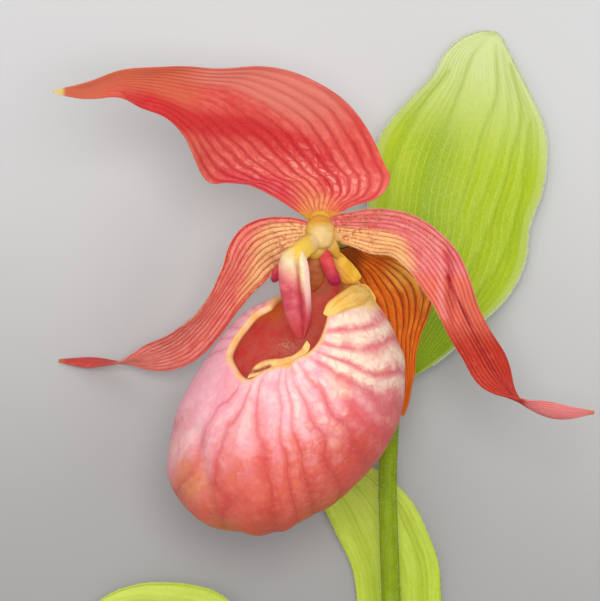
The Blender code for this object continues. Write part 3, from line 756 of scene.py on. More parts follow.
def petal_relief(n, seed, rib=0.05, ruffle=0.5, amp=0.25, f=3.0):
    vc = vein_coord(n, seed, amp)

    def relief(T, S, half, L, X, Y):
        v = vc(T, S, half, L)
        return (rib * np.cos(math.tau * v) * np.minimum(1, half / 3)
                + ruffle * np.abs(S) ** 2.5 * wavy(S * 0.3, T * f, seed + 5) * smooth(0, 0.12, T) * smooth(1.0, 0.9, T))
    return relief


zero = lambda T, S, h, L: 0 * T
RED_BAND = [(120, 100), (150, 106), (188, 123), (215, 126), (250, 128), (278, 140), (305, 148), (322, 160), (330, 180)]
dorsal_mat = petal_material(
    "dorsal_tissue", lin(218, 80, 70), lin(230, 108, 96), lin(206, 54, 54), lin(184, 28, 44),
    [("salmon", lin(226, 130, 114), 0.5), ("coral", lin(212, 106, 76), 0.4), ("band", lin(206, 50, 50), 0.5),
     ("pink", lin(218, 62, 80), 0.6), ("foot", lin(232, 150, 88), 0.7), ("collar", lin(228, 168, 48), 0.2),
     ("tipz", lin(236, 212, 130), 0.1)],
    vw=0.05, vsoft=0.22, vein_amt=0.72, fleck=lin(238, 152, 138), fleck_amt=0.85, dot=lin(190, 96, 52))
dorsal, d_q, d_n, dT, dS = sheet(
    "dorsal_sepal_fine", edged_surface(DORSAL), 210, 110, 0.45, dorsal_mat,
    {"vein": vein_coord(14, 11), "split": lambda T, S, h, L: np.maximum(smooth(8, 12, h) * smooth(0.55, 0.35, T),
                                                                      1.5 * smooth(0.0, -0.5, S) * smooth(0.60, 0.45, T)),
     "veiny": lambda T, S, h, L: (1 - 0.88 * smooth(0.36, 0.60, T)) * (1 - 0.60 * smooth(0.0, 0.5, S) * smooth(0.20, 0.40, T))
     * (1 - 0.5 * bump_at(S, 0.05, 0.3) * smooth(0.3, 0.45, T)) * smooth(0.0, 0.06, T)},
    {"salmon": lambda X, Y, T, S: 0.85 * smooth(0.10, 0.55, S) * smooth(0.16, 0.36, T) * (1 - 0.4 * smooth(0.9, 1.0, S)),
     "coral": lambda X, Y, T, S: 0.8 * smooth(235, 165, X) * (1 - 0.7 * near_line(X, Y, RED_BAND, 12)),
     "band": lambda X, Y, T, S: near_line(X, Y, RED_BAND, 14) * smooth(100, 160, X),
     "pink": lambda X, Y, T, S: 0.7 * near_line(X, Y, [(230, 178), (280, 188), (300, 200)], 14) * (X < 330),
     "foot": lambda X, Y, T, S: 0.95 * spot(X, Y, 318, 214, 18, 20) + 0.30 * spot(X, Y, 300, 190, 26, 34),
     "collar": lambda X, Y, T, S: smooth(209, 217, Y),
     "dots": lambda X, Y, T, S: 0.8 * spot(X, Y, 318, 206, 20, 16),
     "speck": lambda X, Y, T, S: np.clip(1.3 * spot(X, Y, 312, 176, 30, 30) + 1.1 * spot(X, Y, 356, 184, 24, 16)
                                         + 0.7 * spot(X, Y, 250, 168, 40, 22), 0, 1) * smooth(214, 204, Y),
     "tipz": lambda X, Y, T, S: smooth(72, 62, X)},
    petal_relief(14, 11, 0.07, 0.8))
done(dorsal, "dorsal_sepal")

left_mat = petal_material(
    "petal_left_tissue", lin(236, 116, 104), lin(246, 152, 136), lin(216, 78, 76), lin(186, 44, 52),
    [("warm", lin(246, 192, 130), 0.8), ("red", lin(212, 78, 66), 0.5), ("edge", lin(220, 66, 66), 0.3),
     ("tipz", lin(222, 128, 60), 0.1)],
    vw=0.06, vsoft=0.20, vein_amt=0.86, fleck=lin(246, 204, 142), dot=lin(188, 84, 52))
pl, pl_q, pl_n, plT, plS = sheet(
    "petal_left_fine", rolled_surface(PETAL_LEFT), 210, 74, 0.45, left_mat,
    {"vein": vein_coord(10, 21, 0.2), "split": lambda T, S, h, L: 0.8 + 0 * T,
     "veiny": lambda T, S, h, L: 1.0 - 0.4 * smooth(0.5, 0.9, T)},
    {"warm": lambda X, Y, T, S: 0.95 * smooth(238, 275, X + 0.25 * (Y - 235)) * smooth(0.98, 0.5, S),
     "red": lambda X, Y, T, S: smooth(128, 100, X) + 0.30 * smooth(-0.5, -1.0, S) * smooth(260, 230, X),
     "edge": lambda X, Y, T, S: smooth(0.82, 1.0, np.abs(S)) * smooth(150, 250, X),
     "speck": lambda X, Y, T, S: 0.8 * smooth(232, 262, X) * smooth(0.9, 0.4, S),
     "dots": lambda X, Y, T, S: 0.85 * smooth(248, 292, X),
     "tipz": lambda X, Y, T, S: smooth(64, 56, X)},
    petal_relief(10, 21, 0.10, 0.5, 0.2))
done(pl, "petal_left")

right_mat = petal_material(
    "petal_right_tissue", lin(226, 112, 110), lin(236, 144, 140), lin(206, 72, 78), lin(182, 44, 60),
    [("warm", lin(246, 192, 126), 0.8), ("orange", lin(226, 112, 88), 0.5), ("deepz", lin(188, 50, 26), 0.5),
     ("pale", lin(232, 140, 134), 0.35), ("foldshade", lin(186, 62, 62), 0.5), ("midline", lin(166, 30, 34), 0.2),
     ("tipz", lin(226, 140, 90), 0.1)],
    vw=0.06, vsoft=0.20, vein_amt=0.86, fleck=lin(246, 204, 142), dot=lin(184, 82, 52))
pr, pr_q, pr_n, prT, prS = sheet(
    "petal_right_fine", rolled_surface(PETAL_RIGHT), 210, 74, 0.45, right_mat,
    {"vein": vein_coord(11, 31, 0.2), "split": lambda T, S, h, L: 0.8 + 0 * T,
     "veiny": lambda T, S, h, L: 1.0 - 0.5 * smooth(0.45, 0.6, T)},
    {"warm": lambda X, Y, T, S: 0.97 * smooth(424, 384, X - 8 * S) * smooth(-0.35, 0.25, S),
     "orange": lambda X, Y, T, S: 0.9 * smooth(262, 285, Y) * smooth(535, 515, X),
     "deepz": lambda X, Y, T, S: smooth(285, 350, Y) * smooth(535, 515, X) * (0.6 + 0.4 * smooth(320, 370, Y)),
     "foldshade": lambda X, Y, T, S: 0.5 * near_line(X, Y, [(446, 254), (450, 276), (452, 306)], 5.0),
     # pale: partly painted highlight along the fold ridge, plus a paler tip and a pale line near the base
     "pale": lambda X, Y, T, S: 0.6 * near_line(X, Y, [(436, 246), (439, 262), (439, 300), (442, 316)], 4.5)
     + 0.85 * smooth(518, 530, X) + 0.45 * near_line(X, Y, [(412, 226), (430, 242)], 7),
     # midline: painted shade along the fold groove on the upper petal, then the petal's own dark midline lower down
     "midline": lambda X, Y, T, S: 0.55 * near_line(X, Y, [(442, 250), (447, 264), (448, 296)], 2.2)
     + 0.8 * near_line(X, Y, [(446, 276), (462, 310), (478, 345), (494, 372), (510, 395)], 1.8),
     "speck": lambda X, Y, T, S: 0.9 * smooth(420, 390, X) * smooth(-0.2, 0.3, S),
     "dots": lambda X, Y, T, S: 0.90 * smooth(400, 350, X),
     "tipz": lambda X, Y, T, S: smooth(582, 592, X)},
    lambda T, S, half, L, X, Y: petal_relief(11, 31, 0.09, 0.5, 0.2)(T, S, half, L, X, Y)
    + 0.45 * near_line(X, Y, [(436, 244), (441, 262), (441, 300), (446, 322)], 4.5)
    - 0.75 * near_line(X, Y, [(442, 246), (448, 262), (449, 300), (454, 318)], 4.0))
done(pr, "petal_right")

syn_mat = petal_material(
    "synsepal_tissue", lin(226, 106, 22), lin(238, 140, 42), lin(182, 74, 16), lin(134, 34, 14),
    # the dark layer is painted shade at the synsepal's base
    [("gold", lin(255, 192, 84), 0.8), ("dark", lin(150, 70, 10), 0.5), ("low", lin(228, 112, 30), 0.5)],
    vw=0.09, vsoft=0.17, vein_amt=0.88)
syn, syn_q, syn_n, syT, syS = sheet(
    "synsepal_fine", edged_surface(SYNSEPAL), 150, 84, 0.45, syn_mat,
    {"vein": vein_coord(11, 41, 0.2), "split": lambda T, S, h, L: 0.6 + 0 * T, "veiny": lambda T, S, h, L: 0.95 + 0 * T},
    {"gold": lambda X, Y, T, S: 0.8 * spot(X, Y, 405, 272, 22, 20) + 0.4 * spot(X, Y, 425, 300, 12, 26),
     # dark: painted shade, a browner patch at the synsepal's base where it lies in shade beside the pouch and the
     # collar
     "dark": lambda X, Y, T, S: smooth(374, 350, X) * smooth(320, 270, Y),
     "low": lambda X, Y, T, S: 0.8 * smooth(330, 370, Y)},
    petal_relief(11, 41, 0.10, 0.35, 0.2))
done(syn, "synsepal")

# ------------------------------------------------------------------ pouch
POUCH_C = (286.0, 421.0, 42.0)
POUCH_FRONT, POUCH_REAR = 21.0, 18.0
ROLL_FAR, ROLL_NEAR = 0.75, 1.0
OUTLINE = [
    (405, 397), (405, 376), (404, 356), (397, 337), (386, 317), (374, 299), (363, 283),
    (353, 270), (340, 261), (325, 257), (311, 261), (300, 274), (289, 289), (270, 299), (252, 307),
    (238, 318), (227, 330), (215, 345), (200, 367), (188, 388), (178, 408), (172, 427),
    (168, 446), (167, 463), (170, 480), (177, 496), (188, 510), (202, 521), (218, 528),
    (235, 533), (253, 535.5), (273, 534), (296, 527), (319, 514), (339, 499), (357, 484),
    (371, 468), (383, 451), (394, 433), (402, 415)]
RIM = [
    (246, 382, 1), (257, 376, 1), (272, 369, 1), (291, 364, 1), (311, 354, 1), (321, 342, 1),
    (327, 327, 1), (333, 312, 1), (345, 307, 1), (361, 303, 1), (366, 294, 0.3), (359, 281, -1),
    (351, 272, -1), (339, 264, -1), (325, 260, -1), (311, 265, -1), (299, 278, -1), (287, 294, -0.6),
    (271, 303, 0.5),
    (254, 313, 1), (243, 326, 1), (232, 341, 1), (226, 357, 1), (235, 374, 1)]


def closed_curve(points, n):
    p = np.asarray(points, float)
    m = len(p)
    t = np.linspace(0, m, n, endpoint=False)
    i = t.astype(int)
    u = (t - i)[:, None]
    a, b, c, d = p[(i - 1) % m], p[i % m], p[(i + 1) % m], p[(i + 2) % m]
    return 0.5 * (2 * b + (c - a) * u + (2 * a - 5 * b + 4 * c - d) * u**2 + (3 * b - a - 3 * c + d) * u**3)


def pouch_tools():
    c = np.array(POUCH_C)
    ring = closed_curve(OUTLINE, 1440)
    th = np.arctan2(c[1] - ring[:, 1], ring[:, 0] - c[0])
    rr = np.hypot(ring[:, 0] - c[0], ring[:, 1] - c[1])
    order = np.argsort(th)
    th, rr = th[order], rr[order]

    def reach(a):
        return np.interp(a, th, rr, period=2 * math.pi)

    def surface(d):
        a = np.arctan2(d[..., 1], d[..., 0])
        r = reach(a)
        out = np.empty(d.shape)
        out[..., 0] = c[0] + r * d[..., 0]
        out[..., 1] = c[1] - r * d[..., 1]
        out[..., 2] = c[2] + np.where(d[..., 2] > 0, POUCH_FRONT, POUCH_REAR) * d[..., 2]
        return place(out)

    rim = closed_curve(RIM, 880)
    dx, dy = rim[:, 0] - c[0], c[1] - rim[:, 1]
    r = reach(np.arctan2(dy, dx))
    dx, dy = dx / r, dy / r
    f = np.minimum(1.0, 0.998 / np.maximum(np.hypot(dx, dy), 1e-9))
    dx, dy = dx * f, dy * f
    dz = np.sqrt(np.clip(1 - dx**2 - dy**2, 0, 1)) * np.clip(rim[:, 2] * 1.6, -1, 1)
    d = unit(np.c_[dx, dy, dz])
    pole = unit(d.mean(axis=0))
    e1 = unit(np.cross(pole, np.array([1.0, 0.0, 0.0])))
    e2 = np.cross(pole, e1)
    az = np.arctan2(d @ e2, d @ e1)
    lam = np.arccos(np.clip(d @ pole, -1, 1))
    order = np.argsort(az)
    even = np.linspace(-math.pi, math.pi, 720, endpoint=False)
    lam = np.interp(even, az[order], lam[order], period=2 * math.pi)
    for _ in range(30):
        lam = (np.roll(lam, 1) + 2 * lam + np.roll(lam, -1)) / 4

    def rim_angle(u):
        return np.interp(u, even, lam, period=2 * math.pi)

    def direction(u, l):
        sl = np.sin(l)[..., None]
        return (pole * np.cos(l)[..., None] + e1 * np.cos(u)[..., None] * sl
                + e2 * np.sin(u)[..., None] * sl)

    return surface, rim_angle, direction


def build_pouch(mat, lining):
    surface, rim_angle, direction = pouch_tools()
    nu, body, roll = int(270 * RES), int(134 * RES), 14
    u = np.linspace(-math.pi, math.pi, nu, endpoint=False)
    k = np.r_[np.zeros(roll), np.linspace(0, 1, body) ** 1.1 * 0.995]
    row = np.arange(roll + body)
    U, K = np.meshgrid(u, k)
    R = np.repeat(row[:, None], nu, 1)
    l0 = rim_angle(U)
    q = surface(direction(U, l0 + (math.pi - l0) * K))
    e = 0.012
    here = surface(direction(U, l0))
    t = unit(here - surface(direction(U, l0 + e)))
    side = surface(direction(U + e, rim_angle(U + e))) - surface(direction(U - e, rim_angle(U - e)))
    n = unit(np.cross(t, unit(side)))
    n = np.where(((here - place(np.array(POUCH_C))) * n).sum(-1, keepdims=True) < 0, -n, n)
    n = unit(n + np.roll(n, 2, 1) + np.roll(n, -2, 1) + np.roll(n, 4, 1) + np.roll(n, -4, 1))
    a = np.radians(205) * np.clip((roll - R) / roll, 0, 1)
    near = np.clip(((Y0 - here[..., 1] / UNIT) - 335) / 30, 0, 1)
    rr = (ROLL_FAR + (ROLL_NEAR - ROLL_FAR) * near) * MM
    bead = here - n * rr[..., None] + rr[..., None] * (n * np.cos(a)[..., None] + t * np.sin(a)[..., None])
    q = np.where((R < roll)[..., None], bead, q)
    norm = grid_normals(q, True)
    out = q - place(np.array(POUCH_C))
    if (norm[roll + 5:] * out[roll + 5:]).sum() < 0:
        norm = -norm
    # meridian ribs and the vein relief
    warp = 0.9 * wavy(np.cos(U) * 0.5, np.sin(U) * 0.5, 50, 5, 0.6, 1.6)
    fx, fy = q[..., 0] / UNIT + X0, Y0 - q[..., 1] / UNIT
    dist = np.hypot(fx - 284, fy - 342)
    ang = np.arctan2(fx - 284, -(fy - 342))              # 0 to the top of the face, growing to the right
    ang = np.where(ang < 0, ang + math.tau, ang)         # right 90, down 180, left 270 degrees
    bend = 0.36 * smooth(2.6, 3.4, ang) * smooth(5.9, 4.9, ang)
    fan = ang + bend * (dist - 60) / 130
    veins = (fan / math.tau * 22 + 0.55 * wavy(np.cos(ang) * 0.9, np.sin(ang) * 0.9, 50, 5, 0.6, 1.8)
             + 0.22 * wavy(fx / 110, fy / 110, 51))
    ribs = U / math.tau * 13 + 0.5 * warp + 0.25 * wavy(np.cos(U) * 0.6 + K, np.sin(U) * 0.6, 52)
    fade = smooth(0.0, 0.2, K) * smooth(1.0, 0.75, K)
    low = smooth(0.25, 0.8, K)
    relief = (-0.13 * np.exp(-((veins % 1 - 0.5) / 0.13) ** 2) * (0.35 + 0.65 * low)
              + 0.20 * np.cos(math.tau * ribs) * low) * fade
    relief = relief + 0.25 * wavy(q[..., 0] / 0.03, q[..., 1] / 0.03, 53) * fade
    gx, gy = q[..., 0] / UNIT + X0, Y0 - q[..., 1] / UNIT
    relief = relief - 0.55 * near_line(gx, gy, [(197, 432), (203, 462), (207, 490), (213, 520)], 6) * (norm[..., 2] > 0)
    q = q + norm * (relief * MM)[..., None]
    norm = grid_normals(q, True)
    if (norm[roll + 5:] * out[roll + 5:]).sum() < 0:
        norm = -norm
    thick = 0.5 * MM
    inner = q - norm * thick
    m = roll + body
    arc = np.cumsum(np.r_[np.zeros((1, nu)), np.linalg.norm(np.diff(q, axis=0), axis=2)], 0) / MM
    co = np.concatenate([q.reshape(-1, 3), inner.reshape(-1, 3), q[-1].mean(0)[None], inner[-1].mean(0)[None]])
    f = [grid_faces(m, nu, 0, False, True), grid_faces(m, nu, m * nu, True, True)]
    j = np.arange(nu)
    jn = (j + 1) % nu
    f.append(np.stack([j, jn, jn + m * nu, j + m * nu], -1))
    quads = np.concatenate(f)
    c0, c1 = 2 * m * nu, 2 * m * nu + 1
    last = (m - 1) * nu
    tris = np.concatenate([np.stack([last + j, np.full(nu, c0), last + jn], -1),
                           np.stack([m * nu + last + jn, np.full(nu, c1), m * nu + last + j], -1)])
    me = bpy.data.meshes.new("pouch_fine")
    me.from_pydata(co.tolist(), [], quads.tolist() + tris.tolist())
    me.polygons.foreach_set("use_smooth", np.ones(len(me.polygons), bool))
    two = lambda x: np.r_[x.ravel(), x.ravel(), x[-1].mean(), x[-1].mean()]
    lipk = np.where(R < roll, 1.0, np.clip(1 - (R - roll) / (body * 0.03), 0, 1))
    px, py = gx, gy
    up = norm[..., 2] > -0.15
    un = 0.10 * wavy(px / 150, py / 150, 54) + 0.05 * wavy(px / 40, py / 40, 55)
    far = smooth(300, 330, px) * smooth(318, 298, py)
    at = {"vein": two(veins), "k": two(K), "lip": two(lipk), "len": two(arc), "az": two(U),
          "inside": np.r_[np.zeros(m * nu), np.ones(m * nu), 0.0, 1.0],
          "rolled": two(np.clip((roll - R) / roll, 0, 1)),
          # coral grows towards the bottom: partly the pouch's own coral, partly painted shade darkening the lower pouch
          "coral": two(np.clip((py - 392 + 0.34 * (px - 240)) / 125 + un, 0, 1)),
          "orange": two(np.clip(spot(px, py, 190, 478, 18, 26) * 0.9 + spot(px, py, 226, 522, 40, 10) * 0.5, 0, 1)),
          "redz": two(np.clip(0.95 * near_line(px, py, [(350, 402), (368, 424), (388, 436)], 15)
                              + 0.55 * near_line(px, py, [(300, 440), (330, 462), (352, 470)], 18)
                              + 0.5 * spot(px, py, 286, 372, 22, 8) + 0.45 * spot(px, py, 318, 366, 14, 8)
                              + 0.6 * spot(px, py, 256, 525, 40, 10), 0, 1)),
          # upper right of the pouch: partly its own cream colour, partly a painted highlight
          "cream_and_painted_highlight": two(np.clip(1.1 * smooth(305, 352, px + 0.10 * (py - 340)) * smooth(432, 350, py + 0.12 * (px - 350)), 0, 1)),
          "mauve": two(np.clip(0.8 * smooth(262, 218, px) * smooth(470, 380, py) + 0.5 * spot(px, py, 232, 338, 16, 20), 0, 1)),
          "net": two(np.clip(smooth(255, 350, px + 0.35 * (py - 400)), 0, 1)),
          "gold": two(np.clip(far, 0, 1)),
          # upper right back wall: its own yellow, painted extra bright as painted glow of light shining through it
          "yellow_wall_and_painted_glow": two(np.clip(smooth(336, 352, px) * smooth(318, 298, py), 0, 1)),
          "warm": two(np.clip(0.9 * smooth(328, 308, py) * smooth(302, 272, px), 0, 1)),
          "shade": two(np.clip(smooth(336, 326, px) * smooth(300, 288, py), 0, 1)),
          "bands": two(np.clip(smooth(298, 330, px) * smooth(440, 390, py + 0.1 * (px - 350)), 0, 1)),
          "pale": two(spot(px, py, 287, 345, 11, 6))}
    for kk, val in at.items():
        x = me.attributes.new(kk, "FLOAT", "POINT")
        x.data.foreach_set("value", np.asarray(val, np.float32))
    me.update()
    ob = bpy.data.objects.new("pouch_fine", me)
    bpy.context.scene.collection.objects.link(ob)
    me.materials.append(mat)
    me.materials.append(lining)
    lined = np.zeros(len(me.polygons), np.int32)
    lined[len(f[0]):len(f[0]) + len(f[1])] = 1
    lined[len(quads) + nu:] = 1
    me.polygons.foreach_set("material_index", lined)
    fix_outward(ob)
    return ob, q, norm, U, K, R, roll


def rim_colour(k, mid):
    return k.mix(k.step(mid, 0.35, 0.65), lin(240, 194, 144), lin(236, 172, 100))


def pouch_outside():
    k = Mat("pouch_tissue", 0.44)
    o = k.obj()
    fine = k.noise(1000.0, 3, 0.6, o)
    mid = k.noise(330.0, 4, 0.6, o)
    lump = k.noise(430.0, 1.5, 0.5, o)
    big = k.noise(95.0, 3, 0.5, o)
    v, ln = k.attr("vein"), k.attr("len")
    pink, rose = lin(242, 164, 172), lin(252, 196, 198)
    cream_and_painted_highlight = lin(252, 222, 196)
    coral, red, deep = lin(228, 80, 58), lin(220, 68, 74), lin(206, 80, 98)
    # ground
    c = k.mix(k.step(mid, 0.36, 0.62), pink, rose)
    c = k.mix(k.step(k.add(k.attr("mauve"), k.mul(k.sub(mid, 0.5), 0.6)), 0.2, 0.9, 0.0, 0.6), c, lin(246, 160, 180))
    # cream over the upper right: own colour plus painted highlight
    c = k.mix(k.step(k.add(k.attr("cream_and_painted_highlight"), k.mul(k.sub(mid, 0.5), 0.8)), 0.2, 0.8), c, cream_and_painted_highlight)
    # pale lights
    warp = k.node("ShaderNodeTexNoise")
    warp.inputs["Scale"].default_value = 260.0
    k.put(warp.inputs["Vector"], o)
    ad = k.node("ShaderNodeVectorMath", operation="MULTIPLY_ADD")
    k.put(ad.inputs[0], warp.outputs["Color"])
    ad.inputs[1].default_value = (0.0032, 0.0032, 0.0032)
    k.put(ad.inputs[2], o)
    edge, rnd = k.cells(400.0, ad.outputs[0], 0.95)
    c = k.mix(k.mul(k.mul(k.step(edge, 0.06, 0.30), k.step(rnd, 0.2, 0.9)), k.step(k.attr("net"), 0.0, 1.0, 0.12, 0.85)),
              c, lin(253, 222, 204))
    v0 = k.add(v, k.add(k.mul(k.sub(big, 0.5), 0.55), k.mul(k.sub(mid, 0.5), 0.40)))
    # coral towards the bottom is partly painted shade of the lower pouch
    cw = k.add(k.attr("coral"), k.mul(k.sub(mid, 0.5), 0.55))
    cw = k.add(cw, k.mul(k.stripe(v0, 0.05, 0.30), 0.16))
    cw = k.add(cw, k.mul(k.sub(rnd, 0.5), 0.16))
    c = k.mix(k.step(cw, 0.12, 0.98, 0.0, 0.95), c, k.mix(k.step(big, 0.35, 0.65), coral, lin(234, 104, 78)))
    c = k.mix(k.step(k.add(k.attr("orange"), k.mul(k.sub(mid, 0.5), 0.5)), 0.15, 0.9), c, lin(236, 146, 100))
    # soft net, stronger on the right
    net = k.mul(k.step(edge, 0.20, 0.0), k.step(mid, 0.35, 0.62, 0.25, 1.0))
    c = k.mix(k.mul(k.mul(net, k.step(k.attr("net"), 0.0, 1.0, 0.30, 1.0)), 0.38), c,
              k.mix(k.attr("coral"), lin(222, 116, 128), lin(204, 66, 62)))
    c = k.mix(k.step(k.add(k.attr("redz"), k.mul(k.sub(mid, 0.5), 0.9)), 0.35, 1.0, 0.0, 0.74), c, red)
    # soft veins along the meridians, wide bands on the right
    wander = k.add(k.mul(k.sub(big, 0.5), 0.55), k.mul(k.sub(mid, 0.5), 0.40))
    vv = k.add(v, wander)
    soft = k.mul(k.stripe(vv, 0.02, 0.34), k.step(mid, 0.3, 0.6, 0.5, 1.0))
    c = k.mix(k.mul(soft, 0.38), c, k.mix(k.attr("coral"), lin(222, 116, 132), lin(204, 66, 60)))
    line = k.mul(k.stripe(vv, 0.01, 0.12), k.step(big, 0.3, 0.6, 0.45, 1.0))
    wide = k.mul(k.stripe(vv, 0.05, 0.30), k.step(mid, 0.3, 0.6, 0.5, 1.0))
    line2 = k.stripe(k.add(k.mul(v, 2.0), k.mul(wander, 2.2)), 0.0, 0.20)
    starts = k.step(k.attr("k"), 0.0, 0.05, 0.3, 1.0)
    c = k.mix(k.mul(k.mul(wide, k.attr("bands")), 0.78), c, lin(222, 110, 120))
    lines = k.mx(k.mul(line, 0.43), k.mul(k.mul(line2, k.step(mid, 0.35, 0.6)), 0.16))
    lines = k.mul(lines, starts)
    c = k.mix(lines, c, k.mix(k.attr("coral"), deep, lin(200, 62, 56)))
    # rolled rim
    rim = rim_colour(k, mid)
    c = k.mix(k.step(k.add(k.attr("rolled"), k.mul(k.sub(mid, 0.5), 0.5)), 0.02, 0.32), c, rim)
    c = k.mix(k.step(k.add(k.attr("lip"), k.mul(k.sub(mid, 0.5), 1.2)), 0.55, 1.25), c, rim)
    c = k.mix(k.step(k.add(k.attr("gold"), k.mul(k.sub(mid, 0.5), 0.5)), 0.2, 0.8), c, k.mix(k.step(mid, 0.35, 0.65), lin(238, 186, 92), lin(244, 206, 134)))
    c = k.mix(k.step(fine, 0.52, 0.76, 0.0, 0.16), c, rose)
    c = k.mix(k.step(fine, 0.48, 0.25, 0.0, 0.14), c, coral)
    k.colour(c)
    cells = k.voronoi(2600.0, "F1", o)
    h = k.add(k.mul(cells, 0.25), k.mul(fine, 0.5))
    h = k.sub(h, k.mul(lines, 0.5))
    n = k.bump(h, 0.4, 0.00014)
    k.put(k.b.inputs["Normal"], n.outputs[0])
    k.put(k.b.inputs["Roughness"], k.step(fine, 0.3, 0.7, 0.36, 0.52))
    k.b.inputs["Subsurface Weight"].default_value = 0.25
    k.b.inputs["Subsurface Radius"].default_value = (0.002, 0.0010, 0.0007)
    k.b.inputs["Subsurface Scale"].default_value = 0.6
    return k.m


def pouch_inside():
    k = Mat("pouch_lining_painted_glow", 0.5)
    o = k.obj()
    fine = k.noise(1000.0, 3, 0.6, o)
    mid = k.noise(330.0, 4, 0.6, o)
    # the lining's own red, painted brighter than the tissue as painted glow of light shining through the thin wall
    inner = k.mix(k.step(mid, 0.35, 0.62), lin(255, 68, 62), lin(255, 96, 84))
    # yellow back wall at the upper right: own yellow plus painted glow of light through the wall
    inner = k.mix(k.step(k.add(k.attr("yellow_wall_and_painted_glow"), k.mul(k.sub(mid, 0.5), 0.6)), 0.1, 0.9), inner, lin(255, 200, 84))
    inner = k.mix(k.step(k.add(k.attr("warm"), k.mul(k.sub(mid, 0.5), 0.6)), 0.1, 0.9), inner, lin(255, 120, 48))
    inner = k.mix(k.step(k.add(k.attr("shade"), k.mul(k.sub(mid, 0.5), 0.4)), 0.1, 0.9), inner, lin(206, 104, 76))
    inner = k.mix(k.mul(k.attr("pale"), k.step(k.noise(2200.0, 2, 0.6, o), 0.42, 0.62, 0.0, 0.7)), inner, lin(255, 190, 165))
    inner = k.mix(k.step(fine, 0.52, 0.72, 0.0, 0.35), inner, lin(255, 124, 100))
    inner = k.mix(k.step(k.attr("rolled"), 0.1, 0.6), inner, rim_colour(k, mid))
    k.colour(inner)
    n = k.bump(fine, 0.4, 0.00014)
    k.put(k.b.inputs["Normal"], n.outputs[0])
    k.put(k.b.inputs["Roughness"], k.step(fine, 0.3, 0.7, 0.42, 0.56))
    k.b.inputs["Subsurface Weight"].default_value = 0.9
    k.b.inputs["Subsurface Radius"].default_value = (0.005, 0.0026, 0.0024)
    k.b.inputs["Subsurface Scale"].default_value = 1.0
    return k.m


pouch, p_q, p_n, pU, pK, pR, p_roll = build_pouch(pouch_outside(), pouch_inside())
done(pouch, "pouch")

# ------------------------------------------------------------------ folded edge inside the near rim
FLAP = [
    (248, 378, 59.8, 250, 374, 59.5, 0.0), (256, 375, 60.0, 257, 364, 59.0, 0.25),
    (268, 370.5, 60.1, 268, 359.5, 58.8, 0.3), (282, 366.5, 60.1, 281, 358, 58.8, 0.25),
    (295, 361, 59.9, 292, 355.5, 58.8, 0.2), (304, 355, 59.4, 300, 349.5, 58.6, 0.1),
    (309, 349, 59.0, 305, 343, 58.4, 0.05), (310, 345, 58.7, 307, 340, 58.3, 0.0)]


def flap_material():
    k = Mat("flap_tissue", 0.45)
    o = k.obj()
    fine = k.noise(1000.0, 3, 0.6, o)
    mid = k.noise(500.0, 3, 0.6, o)
    c = k.mix(k.step(mid, 0.35, 0.65), lin(238, 200, 132), lin(228, 168, 92))
    c = k.mix(k.step(k.add(k.attr("s"), k.mul(k.sub(mid, 0.5), 0.8)), 0.35, 1.0, 0.0, 0.8), c, lin(214, 150, 76))
    # painted shadow: a dark line for the shade inside the slit at the front notch
    c = k.mix(k.attr("slit_painted_shadow"), c, lin(136, 42, 20))
    c = k.mix(k.step(fine, 0.5, 0.75, 0.0, 0.25), c, lin(250, 226, 176))
    k.colour(c)
    n = k.bump(fine, 0.35, 0.00012)
    k.put(k.b.inputs["Normal"], n.outputs[0])
    k.put(k.b.inputs["Roughness"], k.step(fine, 0.3, 0.7, 0.4, 0.54))
    k.b.inputs["Subsurface Weight"].default_value = 0.3
    k.b.inputs["Subsurface Radius"].default_value = (0.0012, 0.0007, 0.0003)
    k.b.inputs["Subsurface Scale"].default_value = 0.5
    return k.m


skin = p_q[p_roll + 2:p_roll + 16].reshape(-1, 3)
skin_x, skin_y = skin[:, 0] / UNIT + X0, Y0 - skin[:, 1] / UNIT
SIDE_LOBE = []
for lx, ly, drop, rx, ry, cam in [
        (322.5, 313.5, 0.5, 324, 314.5, 0.0), (325.5, 306, 0.8, 332, 311, 0.7), (334, 297, 1.4, 346, 310, 1.3),
        (342, 291, 1.8, 358, 308, 1.5), (349, 287, 1.6, 367, 302, 1.3), (352, 284, 0.8, 366, 292, 0.8),
        (355, 282, 0.3, 360, 285, 0.0)]:
    near_skin = skin[np.argmin(np.hypot(skin_x - rx, skin_y - ry) + 50 * (skin[:, 2] < 0.036))]
    rz = near_skin[2] / MM
    SIDE_LOBE.append((lx, ly, rz + 0.3 - drop, near_skin[0] / UNIT + X0, Y0 - near_skin[1] / UNIT, rz - 0.5, cam))
lobe_mat = petal_material(
    "side_lobe_tissue", lin(236, 184, 78), lin(244, 204, 122), lin(222, 156, 54), lin(206, 118, 60),
    [("fold", lin(206, 96, 50), 0.4)], vw=0.04, vsoft=0.30, vein_amt=0.12, rough=0.42)
lobe, _, _, _, _ = sheet("pouch_side_lobe", edged_surface(SIDE_LOBE), 70, 32, 0.25, lobe_mat,
                         {"vein": vein_coord(5, 81, 0.2), "split": zero, "veiny": lambda T, S, h, L: 1.0 + 0 * T},
                         {"fold": lambda X, Y, T, S: smooth(-0.80, -0.98, S)},
                         relief=lambda T, S, half, L, X, Y: 0.12 * wavy(S * 0.5, T * 2, 82))
done(lobe, None)


flap, _, _, _, _ = sheet("pouch_inner_fold", edged_surface(FLAP), 70, 20, 0.35, flap_material(),
                         # painted shadow in the slit at the front notch
                         paint={"slit_painted_shadow": lambda X, Y, T, S: near_line(X, Y, [(250, 372), (260, 370), (270, 366)], 2.2)},
                         relief=lambda T, S, half, L, X, Y: 0.10 * wavy(S * 0.5, T * 3, 71))
done(flap, None)

